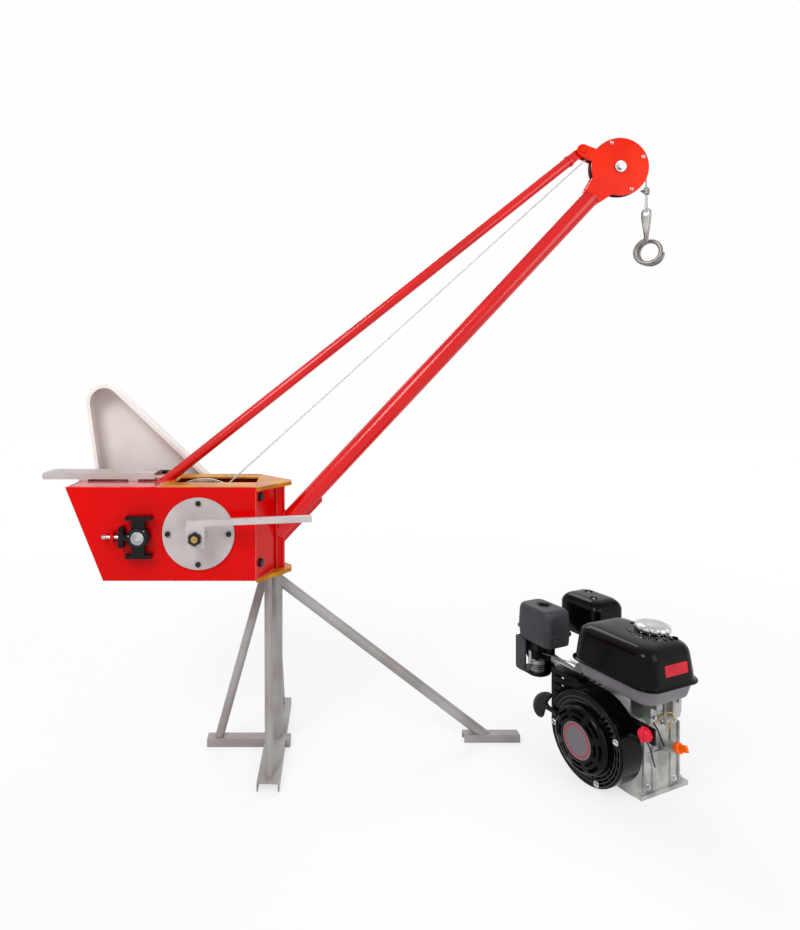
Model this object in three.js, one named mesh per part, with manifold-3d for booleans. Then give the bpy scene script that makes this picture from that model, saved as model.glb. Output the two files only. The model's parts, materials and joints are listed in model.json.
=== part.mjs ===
// Petrol jib crane: a slewing winch box with a braced jib on a braced post, and its petrol engine beside it.
// Millimetres, X to the right along the jib, Y away from the viewer, Z up.
// The origin is where the post's axis meets the floor.
import * as THREE from "three";
import { mergeVertices } from "three/addons/utils/BufferGeometryUtils.js";
import Module from "manifold-3d";

const wasm = await Module();
wasm.setup();

// Gaps, cutters and facets
const gap = 0.3;
const overrun = 12;
const reach = 1500;
const fineSides = 40;
const pipeSides = 24;
const smallSides = 16;
const rodSides = 12;

// Stand: beams on the floor
const beamWidth = 65;
const beamHeight = 26;
const beamWall = 4;
const beamLength = 508;
const beamYaw = THREE.MathUtils.degToRad(-2.74);
const crossWidth = 39;
const crossHeight = 27;
const crossWall = 3;
const crossLeft = 218;
const crossRight = 48;
const crossAside = 5.5;
const footWidth = 35;
const footHeight = 25;
const footWall = 3;
const footInnerEnd = 605;
const footOuterEnd = 785;

// Stand: post, its collar and its braces
const postRadius = 21.15;
const postWall = 3.2;
const postTop = 826;
const collarRadius = 34;
const collarHeight = 8.4;
const braceTop = 548;
const sideBraceRadius = 14;
const sideBraceWall = 2.5;
const sideBraceFoot = 180;
const endBraceRadius = 12.5;
const endBraceWall = 2.5;
const endBraceFoot = 214;
const strutRadius = 16.75;
const strutWall = 3;
const strutTop = 534;
const strutFoot = 664;

// Winch box
const boxHalfDepth = 140;
const boxTop = 843.5;
const boxBottom = 563;
const boxLeftTop = 627;
const boxLeftBottom = 513;
const boxRight = 54;
const plateThickness = 6;
const openingNear = 40;
const openingFar = 79;
const openingRight = 60;
const topOpeningLeft = 318;
const bottomOpeningLeft = 375;
const boreWindow = 60;

// Nose, lugs, sleeve and bush
const lugThickness = 12;
const lugTip = 50;
const lugTipHalf = 17;
const noseReach = 2;
const noseHalf = 31;
const sleeveRadius = 28.5;
const sleeveWall = 3.5;
const bushWall = 3;
const turningGap = 0.5;

// Jib head, boom and tie
const headX = 1099;
const headZ = 1847;
const cheekRadius = 92;
const cheekThickness = 4.7;
const cheekGap = 20.6;
const cheekBoltCircle = 80.5;
const cheekBoltRadius = 5;
const cheekBoltHead = 3.5;
const neckLength = 135;
const earX = 980;
const earZ = 1900;
const earRadius = 19;
const earPinRadius = 7;
const pinHeadRadius = 11;
const pinHeadHeight = 4;
const boomRadius = 28.5;
const boomWall = 3;
const boomRootZ = 674;
const boomCapThickness = 5;
const boomCapRadius = 30;
const gussetLength = 178;
const gussetRise = 9;
const gussetThickness = 12;
const tieRadius = 16.75;
const tieWall = 3.2;
const tieFootX = 353;
const tieEyeThickness = 14;
const tieEyeNeck = 48;
const tieCollarRadius = 19;
const tieCollarLength = 8;

// Sheave and its axle
const ropeRadius = 2.5;
const ropeBendRadius = 90;
const sheaveRimRadius = 93.5;
const sheaveRimHalf = 8;
const sheaveWebHalf = 4;
const sheaveHubRadius = 22;
const sheaveRimDepth = 16;
const axleRadius = 9;
const axleWasherRadius = 18;
const axleWasherHeight = 4;
const axleNutRadius = 12;
const axleNutHeight = 9;

// Drum and its fixed shaft
const drumX = 226;
const drumZ = 706;
const windRadius = 45;
const windPitch = 7;
const windLoops = 10;
const windSteps = 24;
const windSides = 6;
const drumFlangeRadius = 148;
const drumRearFlangeRadius = 120;
const drumFlangeThickness = 4.5;
const drumNearFlange = 20.5;
const drumHubRadius = 30;
const drumHubFrontInset = 25;
const drumHubFront = boxHalfDepth - drumHubFrontInset;
const drumHubRearInset = 18;
const drumHubRear = boxHalfDepth - drumHubRearInset;
const shaftRadius = 15;
const shaftFrontReach = 82;
const shaftFront = boxHalfDepth + shaftFrontReach;
const shaftRearReach = 10;
const shaftRear = boxHalfDepth + shaftRearReach;
const shaftNutRadius = 20.8;
const shaftNutHeight = 14;
const shaftCollarRadius = 23;

// Drum cover and clutch lever
const coverRadius = 108;
const coverThickness = 8;
const coverBossRadius = 27;
const coverBossReach = 50;
const coverBossFront = boxHalfDepth + coverBossReach;
const coverBoltCircle = 91;
const coverBoltRadius = 4.5;
const leverPlate = 56;
const leverPlateThickness = 9;
const leverPlateTop = 36;
const leverBar = 18;
const leverBarLeft = 25;
const leverBarRight = 339;
const leverBarRise = 49.5;
const leverTilt = THREE.MathUtils.degToRad(2.36);

// Chain drive
const chainPitch = 15.875;
const drumTeeth = 48;
const inputTeeth = 15;
const sprocketInset = 50;
const sprocketY = boxHalfDepth - sprocketInset;
const sprocketHalf = 4;
const chainHalf = 8;
const chainPlateHalf = 5.5;
const toothTip = 2;
const toothRoot = 4.5;
const chainOutside = 7.3;
const chainInside = 2.8;
const chainPlateInside = 7;
const toothShares = [0.05, 0.35, 0.65, 0.95];

// Input shaft, belt pulley and take-up bearings
const inputX = 402;
const inputZ = 698;
const inputRadius = 12.5;
const inputFrontReach = 36;
const inputFront = boxHalfDepth + inputFrontReach;
const inputRearReach = 90;
const inputRear = boxHalfDepth + inputRearReach;
const inputCapRadius = 19.5;
const inputCapHeight = 6;
const pulleyRadius = 150;
const pulleyHalf = 19;
const pulleyReach = 65;
const pulleyY = boxHalfDepth + pulleyReach;
const pulleyHubRadius = 28;
const pulleyWebHalf = 4;
const pulleyRimDepth = 24;
const grooveDepth = 12;
const grooveHalf = 7;
const takeUpDepth = 27.5;
const takeUpHubRadius = 33;
const takeUpArm = 62;
const takeUpStemHalf = 19;
const takeUpRailHalf = 38.5;
const takeUpRailHeight = 10;
const takeUpNose = 58;
const takeUpNoseThickness = 14;
const takeUpNoseHalf = 30;
const takeUpWebHalf = 8;
const takeUpTravel = 4;
const screwRadius = 5;
const screwHeadRadius = 8;
const screwHeadLength = 11;
const screwHeadX = 511;
const bracketX = 484;
const bracketThickness = 8;
const bracketHalf = 13;

// Engine bed and belt guard
const bedLeft = 745;
const bedRight = 387;
const bedNear = 15;
const bedFar = 85;
const bedRise = 5.5;
const bedBottom = boxTop + bedRise;
const bedHeight = 20;
const bedTop = bedBottom + bedHeight;
const bedWall = 4;
const bedFootLength = 30;
const bedFootXs = [600, 440];
const bedSlotXs = [715, 545];
const bedSlotLength = 40;
const bedSlotHalf = 5.5;
const bedSlotInset = 24;
const guardSmallX = 602;
const guardSmallZ = 1088;
const guardSmallRadius = 62;
const guardBigRadius = 206;
const guardFrontReach = 25;
const guardFront = boxHalfDepth + guardFrontReach;
const guardRearReach = 100;
const guardRear = boxHalfDepth + guardRearReach;
const guardSheet = 3;
const guardLip = 12;
const standOffRadius = 8;
const standOffCircle = 190;
const standOffAngles = [42, -40, 160].map(THREE.MathUtils.degToRad);

// Hanging rope, clip, loop and hook
const fallTop = 15;
const clipZ = 1783;
const clipHeight = 22;
const clipHalfWidth = 12;
const clipHalfDepth = 7;
const clipStudRadius = 3;
const clipStudReach = 9;
const hookTurn = THREE.MathUtils.degToRad(45);
const hookSeatZ = 1706.2;
const hookSeatGap = 1.5;
const loopHalf = 10;
const loopTopHalf = 5;
const shankHole = 9;
const shankRim = 6.5;
const shankHalf = 4;
const shankTopHalf = 15.5;
const shankLowHalf = 6.75;
const shankLength = 86;
const hookBarRadius = 6.75;
const hookRingRadius = 36.25;
const hookPitch = 30;
const hookTurns = 1.75;
const hookSteps = 24;

// Engine: place and main casting
const engineX = 1045;
const engineY = -150;
const engineYaw = THREE.MathUtils.degToRad(-66);
const crankZ = 132;
const crankRadius = 12.5;
const crankRear = 200;
const crankSeat = 36;
const sumpLeft = 95;
const sumpRight = 118;
const sumpRear = 95;
const sumpTop = 215;
const sumpCorner = 30;
const engineFootSpread = 92;
const engineFootWidth = 40;
const engineFootHeight = 12;
const engineFootFront = 78;
const engineFootRear = 112;
const bossRadius = 58;
const bossRear = 112;
const finCount = 5;
const finPitch = 13;
const finThickness = 5;
const finHalf = 62;
const barrelHalf = 48;
const barrelLean = THREE.MathUtils.degToRad(58);
const barrelStart = 95;
const headThickness = 26;
const tankPostLeft = 40;
const tankPostRight = 105;
const tankPostFront = 20;
const tankPostRear = 62;
const portRadius = 14;
const exhaustX = 150;
const exhaustY = 96;
const exhaustZ = 235;
const intakeHeadX = 125;
const intakeHeadY = 36;
const intakeHeadZ = 232;
const intakeCarbX = 238;
const intakeCarbY = 66;
const intakeCarbZ = 268;
const oilBossRadius = 14;
const oilBossX = 100;
const dipstickX = 162;
const dipstickY = 12;
const dipstickZ = 148;
const dipstickLean = THREE.MathUtils.degToRad(20);
const dipstickRadius = 15;
const dipstickLength = 36;
const dipstickGrip = 11;

// Engine: fan shroud and recoil starter
const shroudRadius = 130;
const shroudFront = 160;
const shroudRear = 82;
const shroudWall = 4;
const shroudInlet = 84;
const shoulderLeft = 165;
const shoulderTop = 268;
const shoulderRight = 60;
const shoulderFront = 122;
const shoulderSlots = 3;
const shoulderSlotPitch = 24;
const shoulderSlotInset = 16;
const shoulderSlotLength = 34;
const shoulderSlotHeight = 6;
const recoilRadius = 94;
const recoilFront = 192;
const recoilWall = 3;
const recoilFaceRadius = 54;
const recoilCrown = 8;
const recoilSide = 14;
const slotInnerRadius = 60;
const slotOuterRadius = 76;
const slotWidth = 7;
const slotCount = 8;
const slotSpan = THREE.MathUtils.degToRad(28);
const gripRadius = 12;
const gripHalf = 46;
const gripStem = 62;
const gripStemRadius = 7;
const gripSeatX = 91;
const gripSeatZ = 160;
const gripY = 170;
const gripPull = THREE.MathUtils.degToRad(174);
const gripLean = THREE.MathUtils.degToRad(66);

// Engine: tank, air filter, muffler guard
const tankLeft = 80;
const tankRight = 205;
const tankFront = 150;
const tankRear = 72;
const tankBottom = 292;
const tankSeam = 339;
const tankShoulder = 425;
const tankTop = 446;
const tankCorner = 40;
const tankLip = 7;
const tankTaper = 12;
const tankCrown = 30;
const tankLipHeight = 4;
const capX = 85;
const capY = 14;
const capRadius = 48;
const capHeight = 22;
const neckHeight = 7;
const neckRadius = 36;
const mouthRadius = 30;
const tankWall = 2.5;
const filterLeft = 310;
const filterRight = 158;
const filterFront = 142;
const filterRear = 30;
const filterBottom = 318;
const filterTop = 435;
const filterCorner = 24;
const filterCrown = 10;
const filterKnobRadius = 14;
const filterKnobHeight = 12;
const mufflerLeft = 280;
const mufflerRight = 120;
const mufflerFront = 20;
const mufflerRear = 150;
const mufflerBottom = 332;
const mufflerTop = 455;
const mufflerCorner = 28;
const mufflerWall = 2;
const mufflerCanInset = 22;
const mufflerCrown = 14;

// Engine: small parts
const carbLeft = 300;
const carbRight = 216;
const carbFront = 125;
const carbRear = 62;
const carbBottom = 250;
const carbBowlRadius = 27;
const carbBowlBottom = 198;
const chokeX = 252;
const chokeZ = 280;
const chokeLength = 36;
const chokeThickness = 4;
const chokeHalf = 6;
const chokePinRadius = 4;
const chokePinDepth = 6;
const switchX = 168;
const switchY = 112;
const switchZ = 216;
const switchRadius = 19;
const switchHeight = 20;
const switchRib = 4;
const switchTabHalf = 22;
const switchTabThickness = 6;

const finishes = {
  redPaint: { color: 0xde0000, roughness: 0.4, metalness: 0.1 },
  orangePaint: { color: 0xf03c14, roughness: 0.45, metalness: 0.1 },
  ochrePaint: { color: 0xcd8c0a, roughness: 0.5, metalness: 0.1 },
  greyPaint: { color: 0xa09b9b, roughness: 0.5, metalness: 0.2 },
  greySheet: { color: 0xdcd6d4, roughness: 0.5, metalness: 0.1 },
  zinc: { color: 0xc8c8cc, roughness: 0.35, metalness: 0.8 },
  steel: { color: 0x8c8a88, roughness: 0.4, metalness: 0.8 },
  blackIron: { color: 0x161616, roughness: 0.5, metalness: 0.3 },
  bronze: { color: 0xb08040, roughness: 0.4, metalness: 0.7 },
  rope: { color: 0xb4b6b8, roughness: 0.5, metalness: 0.6 },
  alloy: { color: 0xb4b4b2, roughness: 0.5, metalness: 0.6 },
  blackGloss: { color: 0x101012, roughness: 0.2, metalness: 0.1 },
  blackPlastic: { color: 0x26262a, roughness: 0.5, metalness: 0 },
  chrome: { color: 0xd8d8dc, roughness: 0.1, metalness: 1 },
  redPlastic: { color: 0xe8345c, roughness: 0.4, metalness: 0 },
  orangePlastic: { color: 0xff8c1e, roughness: 0.4, metalness: 0 },
};

const yAxis = new THREE.Vector3(0, 1, 0);

function at(x, y, z) {
  return new THREE.Vector3(x, y, z);
}

// A closed geometry as a solid that can be joined and cut.
function solid(geometry) {
  const bare = geometry.clone();
  bare.deleteAttribute("normal");
  bare.deleteAttribute("uv");
  const merged = mergeVertices(bare);
  return new wasm.Manifold(
    new wasm.Mesh({
      numProp: 3,
      vertProperties: merged.attributes.position.array,
      triVerts: new Uint32Array(merged.index.array),
    }),
  );
}

function join(...pieces) {
  return pieces.reduce((whole, piece) => whole.add(piece));
}

function cut(body, ...tools) {
  return tools.reduce((whole, tool) => whole.subtract(tool), body);
}

// A block between two corners.
function block(x0, x1, y0, y1, z0, z1) {
  const geometry = new THREE.BoxGeometry(x1 - x0, y1 - y0, z1 - z0);
  return solid(geometry.translate((x0 + x1) / 2, (y0 + y1) / 2, (z0 + z1) / 2));
}

// A round bar from one point to another.
function bar(from, to, radius, sides = smallSides) {
  const along = to.clone().sub(from);
  const geometry = new THREE.CylinderGeometry(radius, radius, along.length(), sides);
  const turn = new THREE.Quaternion().setFromUnitVectors(yAxis, along.clone().normalize());
  geometry.applyQuaternion(turn);
  const middle = from.clone().add(to).multiplyScalar(0.5);
  return solid(geometry.translate(middle.x, middle.y, middle.z));
}

// A pipe from one point to another, open at both ends.
function pipe(from, to, radius, wall, sides = pipeSides) {
  const along = to.clone().sub(from);
  const past = along.clone().normalize().multiplyScalar(overrun);
  const bore = bar(from.clone().sub(past), to.clone().add(past), radius - wall, sides);
  return cut(bar(from, to, radius, sides), bore);
}

// A body turned about an axis along Y, from pairs of radius and depth given round its section.
function turned(x, z, section, sides = pipeSides) {
  const points = section.map(([radius, y]) => new THREE.Vector2(radius, y));
  if (section[0][0] > 0) points.push(points[0].clone());
  return solid(new THREE.LatheGeometry(points, sides).translate(x, 0, z));
}

// A round rod along Y.
function rod(x, z, y0, y1, radius, sides = smallSides) {
  return bar(at(x, y0, z), at(x, y1, z), radius, sides);
}

// A cutter for a round hole along Y; its flats, not its corners, are at the radius.
function hole(x, z, y0, y1, radius, sides = smallSides) {
  return rod(x, z, y0 - overrun, y1 + overrun, radius / Math.cos(Math.PI / sides), sides);
}

// An outline of x and z pairs, extruded along Y.
function standing(outline, y0, y1, holes = []) {
  const shape = outline instanceof THREE.Shape ? outline : shapeOf(outline);
  const geometry = new THREE.ExtrudeGeometry(shape, { depth: y1 - y0, bevelEnabled: false, curveSegments: rodSides });
  const body = solid(geometry.rotateX(Math.PI / 2).translate(0, y1, 0));
  return cut(body, ...holes);
}

// An outline of x and y pairs, extruded along Z.
function lying(outline, z0, z1) {
  const geometry = new THREE.ExtrudeGeometry(shapeOf(outline), { depth: z1 - z0, bevelEnabled: false });
  return solid(geometry.translate(0, 0, z0));
}

function shapeOf(points) {
  return new THREE.Shape(points.map(([a, b]) => new THREE.Vector2(a, b)));
}

// A channel with its open side down, along X, centred on y.
function channel(x0, x1, y, width, height, wall) {
  const inside = block(x0 - overrun, x1 + overrun, y - width / 2 + wall, y + width / 2 - wall, -overrun, height - wall);
  return cut(block(x0, x1, y - width / 2, y + width / 2, 0, height), inside);
}

function mesh(name, body, finish) {
  const { vertProperties, triVerts, numProp } = body.getMesh();
  const geometry = new THREE.BufferGeometry();
  const positions = new Float32Array((vertProperties.length / numProp) * 3);
  for (let i = 0; i < positions.length / 3; i++) {
    positions.set(vertProperties.subarray(i * numProp, i * numProp + 3), i * 3);
  }
  geometry.setAttribute("position", new THREE.BufferAttribute(positions, 3));
  geometry.setIndex(new THREE.BufferAttribute(triVerts, 1));
  const flat = geometry.toNonIndexed();
  flat.computeVertexNormals();
  const made = new THREE.Mesh(flat, new THREE.MeshStandardMaterial(finishes[finish]));
  made.name = name;
  return made;
}

// The outline round two circles and the straight lines that touch both, counter-clockwise.
function beltLine(ax, az, ra, bx, bz, rb, steps) {
  const facing = Math.atan2(bz - az, bx - ax);
  const lean = Math.acos((ra - rb) / Math.hypot(bx - ax, bz - az));
  const points = [];
  for (let i = 0; i <= steps; i++) {
    const angle = facing - lean + (2 * lean * i) / steps;
    points.push([bx + rb * Math.cos(angle), bz + rb * Math.sin(angle)]);
  }
  for (let i = 0; i <= steps; i++) {
    const angle = facing + lean + ((2 * Math.PI - 2 * lean) * i) / steps;
    points.push([ax + ra * Math.cos(angle), az + ra * Math.sin(angle)]);
  }
  return points;
}

// A tube with its ends closed, through rings of points round a path.
function tube(path, radius, sides) {
  const positions = [];
  const index = [];
  const tangents = path.map((point, i) => {
    const before = path[Math.max(i - 1, 0)];
    const after = path[Math.min(i + 1, path.length - 1)];
    return after.clone().sub(before).normalize();
  });
  let across = at(0, 1, 0).cross(tangents[0]);
  if (across.length() < 0.1) across = at(1, 0, 0).cross(tangents[0]);
  across.normalize();
  path.forEach((point, i) => {
    const tangent = tangents[i];
    across.addScaledVector(tangent, -across.dot(tangent)).normalize();
    const up = tangent.clone().cross(across);
    for (let j = 0; j < sides; j++) {
      const angle = (2 * Math.PI * j) / sides;
      const spoke = across.clone().multiplyScalar(Math.cos(angle)).addScaledVector(up, Math.sin(angle));
      positions.push(...point.clone().addScaledVector(spoke, radius).toArray());
    }
  });
  for (let i = 0; i + 1 < path.length; i++) {
    for (let j = 0; j < sides; j++) {
      const a = i * sides + j;
      const b = i * sides + ((j + 1) % sides);
      index.push(a, b, b + sides, a, b + sides, a + sides);
    }
  }
  const last = (path.length - 1) * sides;
  for (let j = 1; j + 1 < sides; j++) {
    index.push(0, j + 1, j);
    index.push(last, last + j, last + j + 1);
  }
  const geometry = new THREE.BufferGeometry();
  geometry.setAttribute("position", new THREE.BufferAttribute(new Float32Array(positions), 3));
  geometry.setIndex(index);
  return solid(geometry);
}

// A rounded rectangle of x and y pairs, centred on x and y.
function roundedRing(x, y, halfX, halfY, corner, z) {
  const ring = [];
  const steps = 5;
  [
    [1, 1],
    [-1, 1],
    [-1, -1],
    [1, -1],
  ].forEach(([sx, sy], quarter) => {
    for (let i = 0; i <= steps; i++) {
      const angle = (Math.PI / 2) * (quarter + i / steps);
      const cx = x + sx * (halfX - corner);
      const cy = y + sy * (halfY - corner);
      ring.push(at(cx + corner * Math.cos(angle), cy + corner * Math.sin(angle), z));
    }
  });
  return ring;
}

// A solid skinned over level rings of equally many points, from the lowest ring to the highest.
function lofted(rings) {
  const count = rings[0].length;
  const positions = rings.flat().flatMap((point) => point.toArray());
  const index = [];
  for (let i = 0; i + 1 < rings.length; i++) {
    for (let j = 0; j < count; j++) {
      const a = i * count + j;
      const b = i * count + ((j + 1) % count);
      index.push(a, b, b + count, a, b + count, a + count);
    }
  }
  const last = (rings.length - 1) * count;
  for (let j = 1; j + 1 < count; j++) {
    index.push(0, j + 1, j);
    index.push(last, last + j, last + j + 1);
  }
  const geometry = new THREE.BufferGeometry();
  geometry.setAttribute("position", new THREE.BufferAttribute(new Float32Array(positions), 3));
  geometry.setIndex(index);
  return solid(geometry);
}

const crane = new THREE.Group();

// Stand
const postBore = bar(at(0, 0, -overrun), at(0, 0, boxTop + overrun), postRadius + gap, pipeSides);

function baseBeam() {
  const half = beamLength / 2;
  const outside = block(-beamWidth / 2, beamWidth / 2, -half, half, 0, beamHeight);
  const inner = beamWidth / 2 - beamWall;
  const hollow = block(-inner, inner, -half - overrun, half + overrun, -overrun, beamHeight - beamWall);
  const crossNear = -crossAside - crossWidth / 2;
  const stub = block(beamWidth / 2 - beamWall, crossRight, crossNear, crossNear + crossWidth, 0, beamHeight);
  return join(cut(outside, hollow), stub);
}

function crossBeam() {
  const sideAtYaw = beamWidth / 2 / Math.cos(beamYaw) + (crossAside + crossWidth / 2) * Math.tan(-beamYaw);
  return channel(-crossLeft, -sideAtYaw - gap, -crossAside, crossWidth, crossHeight, crossWall);
}

// A brace between the top of a floor beam and the side of the post.
function brace(foot, top, radius, wall, sides) {
  const along = top.clone().sub(foot).normalize().multiplyScalar(2 * radius + overrun);
  const whole = pipe(foot.clone().sub(along), top.clone().add(along), radius, wall, sides);
  const below = block(-reach, reach, -reach, reach, -reach, foot.z);
  const above = block(-reach, reach, -reach, reach, braceTop, reach);
  return cut(whole, below, above, postBore);
}

const sideBraceSeat = postRadius + sideBraceRadius - gap;
const endBraceSeat = postRadius + endBraceRadius - gap;
const endBraceSlew = THREE.MathUtils.degToRad(45);
const rearBraceSlew = THREE.MathUtils.degToRad(76);
const beamFootX = endBraceFoot * Math.tan(beamYaw);

function addStand() {
  const beam = mesh("base_beam", baseBeam(), "greyPaint");
  beam.rotation.z = beamYaw;
  const post = pipe(at(0, 0, beamHeight + gap), at(0, 0, postTop), postRadius, postWall);
  const collar = pipe(at(0, 0, braceTop + gap), at(0, 0, braceTop + gap + collarHeight), collarRadius, collarRadius - postRadius + postWall / 2);
  const leftBrace = brace(
    at(-sideBraceFoot, -crossAside, crossHeight + gap),
    at(-sideBraceSeat, crossAside, braceTop),
    sideBraceRadius,
    sideBraceWall,
    smallSides,
  );
  const frontBrace = brace(
    at(beamFootX, -endBraceFoot, beamHeight + gap),
    at(-endBraceSeat * Math.sin(endBraceSlew), -endBraceSeat * Math.cos(endBraceSlew), braceTop),
    endBraceRadius,
    endBraceWall,
    smallSides,
  );
  const rearBrace = brace(
    at(-beamFootX, endBraceFoot, beamHeight + gap),
    at(-endBraceSeat * Math.cos(rearBraceSlew), endBraceSeat * Math.sin(rearBraceSlew), braceTop),
    endBraceRadius,
    endBraceWall,
    smallSides,
  );
  const strutLine = at(strutFoot, footWidth / 2, footHeight + gap);
  const strutPast = strutLine.clone().sub(at(0, 0, strutTop)).normalize().multiplyScalar(4 * strutRadius);
  const strut = cut(
    pipe(at(0, 0, strutTop), strutLine.clone().add(strutPast), strutRadius, strutWall, smallSides),
    block(-reach, reach, -reach, reach, -reach, footHeight + gap),
    postBore,
  );
  const foot = channel(footInnerEnd, footOuterEnd, footWidth / 2, footWidth, footHeight, footWall);
  crane.add(
    beam,
    mesh("cross_beam", crossBeam(), "greyPaint"),
    mesh("post", join(post, collar), "greyPaint"),
    mesh("left_brace", leftBrace, "greyPaint"),
    mesh("front_brace", frontBrace, "greyPaint"),
    mesh("rear_brace", rearBrace, "greyPaint"),
    mesh("right_strut", strut, "greyPaint"),
    mesh("right_foot", foot, "greyPaint"),
  );
}
addStand();

// Winch box: two side plates, a slanted end, and a top and a bottom with a long opening each
const boxInside = boxHalfDepth - plateThickness - gap;
const endSlope = (boxLeftTop - boxLeftBottom) / (boxTop - boxBottom);
const endWidth = plateThickness * Math.hypot(1, endSlope);
const windowHalf = inputRadius + takeUpTravel + gap;
const lugBottom = boxBottom - plateThickness;
const lowerLugTop = lugBottom + lugThickness;
const upperLugBottom = boxTop - lugThickness;

function sidePlate(y0, drumHoleRadius) {
  const outline = [
    [-boxLeftTop, boxTop],
    [-boxLeftBottom, boxBottom],
    [-boxRight, boxBottom],
    [-boxRight, boxTop],
  ];
  const window = block(
    -inputX - windowHalf,
    -inputX + windowHalf,
    y0 - overrun,
    y0 + plateThickness + overrun,
    inputZ - inputRadius - 2 * turningGap,
    inputZ + inputRadius + 2 * turningGap,
  );
  const drumHole = hole(-drumX, drumZ, y0, y0 + plateThickness, drumHoleRadius, pipeSides);
  return standing(outline, y0, y0 + plateThickness, [window, drumHole]);
}

function endPlate() {
  const outline = [
    [-boxLeftTop, boxTop],
    [-boxLeftBottom, boxBottom],
    [-boxLeftBottom + endWidth, boxBottom],
    [-boxLeftTop + endWidth, boxTop],
  ];
  return standing(outline, -boxInside, boxInside);
}

// A top or bottom plate with its opening; its left edge leans with the slanted end.
function openPlate(z0, openingLeft) {
  const leftAt = (z) => -boxLeftTop + (boxTop - z) * endSlope + endWidth + gap;
  const outline = [
    [leftAt(z0), z0],
    [-boxRight, z0],
    [-boxRight, z0 + plateThickness],
    [leftAt(z0 + plateThickness), z0 + plateThickness],
  ];
  const opening = block(-openingLeft, -openingRight, -openingNear, openingFar, z0 - overrun, z0 + plateThickness + overrun);
  return standing(outline, -boxInside, boxInside, [opening]);
}

function nosePlate(side) {
  const start = new THREE.Vector2(-boxRight + gap, -boxHalfDepth);
  const end = new THREE.Vector2(-noseReach, -noseHalf);
  const along = end.clone().sub(start).normalize();
  const inward = new THREE.Vector2(-along.y, along.x).multiplyScalar(plateThickness);
  const innerStart = [start.x, start.y + plateThickness / along.x];
  const innerEnd = end.clone().add(inward);
  const outline = [start.toArray(), end.toArray(), innerEnd.toArray(), innerStart];
  const mirrored = outline.map(([x, y]) => [x, side * y]);
  return lying(mirrored, lowerLugTop + gap, upperLugBottom - gap);
}

function lug(z0) {
  const left = -boxRight + gap;
  const outline = [
    [left, -boxHalfDepth],
    [lugTip, -lugTipHalf],
    [lugTip, lugTipHalf],
    [left, boxHalfDepth],
  ];
  return lying(outline, z0, z0 + lugThickness);
}

function addBox() {
  const bore = bar(at(0, 0, -overrun), at(0, 0, lowerLugTop + overrun), postRadius + 2 * turningGap, pipeSides);
  const sleeve = pipe(at(0, 0, lowerLugTop + gap), at(0, 0, upperLugBottom - gap), sleeveRadius, sleeveWall);
  const bushOutside = sleeveRadius - sleeveWall - gap;
  const bush = pipe(at(0, 0, lowerLugTop + 2 * gap), at(0, 0, upperLugBottom - 2 * gap), bushOutside, bushWall);
  crane.add(
    mesh("front_plate", sidePlate(-boxHalfDepth, boreWindow), "redPaint"),
    mesh("rear_plate", sidePlate(boxHalfDepth - plateThickness, shaftRadius + turningGap), "redPaint"),
    mesh("end_plate", endPlate(), "redPaint"),
    mesh("top_plate", openPlate(boxTop - plateThickness, topOpeningLeft), "redPaint"),
    mesh("bottom_plate", openPlate(boxBottom, bottomOpeningLeft), "redPaint"),
    mesh("nose_front_plate", nosePlate(1), "redPaint"),
    mesh("nose_rear_plate", nosePlate(-1), "redPaint"),
    mesh("upper_lug", lug(upperLugBottom), "ochrePaint"),
    mesh("lower_lug", cut(lug(lugBottom), bore), "ochrePaint"),
    mesh("sleeve", sleeve, "redPaint"),
    mesh("slew_bush", bush, "bronze"),
  );
}
addBox();

// The radius of the surface that a rope in straight steps at a given radius just clears.
function ropeBed(radius) {
  return radius * Math.cos(Math.PI / windSteps) - ropeRadius - gap;
}

// Jib: boom, tie and head
const boomRise = Math.atan2(headZ - boomRootZ, headX);
const boomRoot = at(0, 0, boomRootZ);
const boomAlong = at(Math.cos(boomRise), 0, Math.sin(boomRise));
const boomLength = Math.hypot(headX, headZ - boomRootZ) - neckLength;
const boomEnd = boomRoot.clone().addScaledVector(boomAlong, boomLength);
const tieRise = Math.atan2(earZ - boxTop, earX + tieFootX);
const tieAlong = at(Math.cos(tieRise), 0, Math.sin(tieRise));
const earEye = at(earX, 0, earZ);

function boom() {
  const tubeSide = pipe(boomRoot, boomEnd, boomRadius, boomWall);
  const cap = bar(boomEnd, boomEnd.clone().addScaledVector(boomAlong, boomCapThickness - gap), boomCapRadius, pipeSides);
  const below = (depth, distance) => [
    distance * boomAlong.x + depth * boomAlong.z,
    boomRootZ + distance * boomAlong.z - depth * boomAlong.x,
  ];
  const gusset = standing(
    [
      below(boomRadius - boomWall, 0),
      below(boomRadius + gussetRise, 0),
      below(boomRadius + gussetRise, gussetLength),
      below(boomRadius - boomWall, gussetLength + gussetRise),
    ],
    -gussetThickness / 2,
    gussetThickness / 2,
  );
  const sleeveBore = bar(at(0, 0, boxBottom), at(0, 0, boxTop), sleeveRadius + gap, pipeSides);
  return cut(join(tubeSide, cap, gusset), sleeveBore);
}

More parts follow.
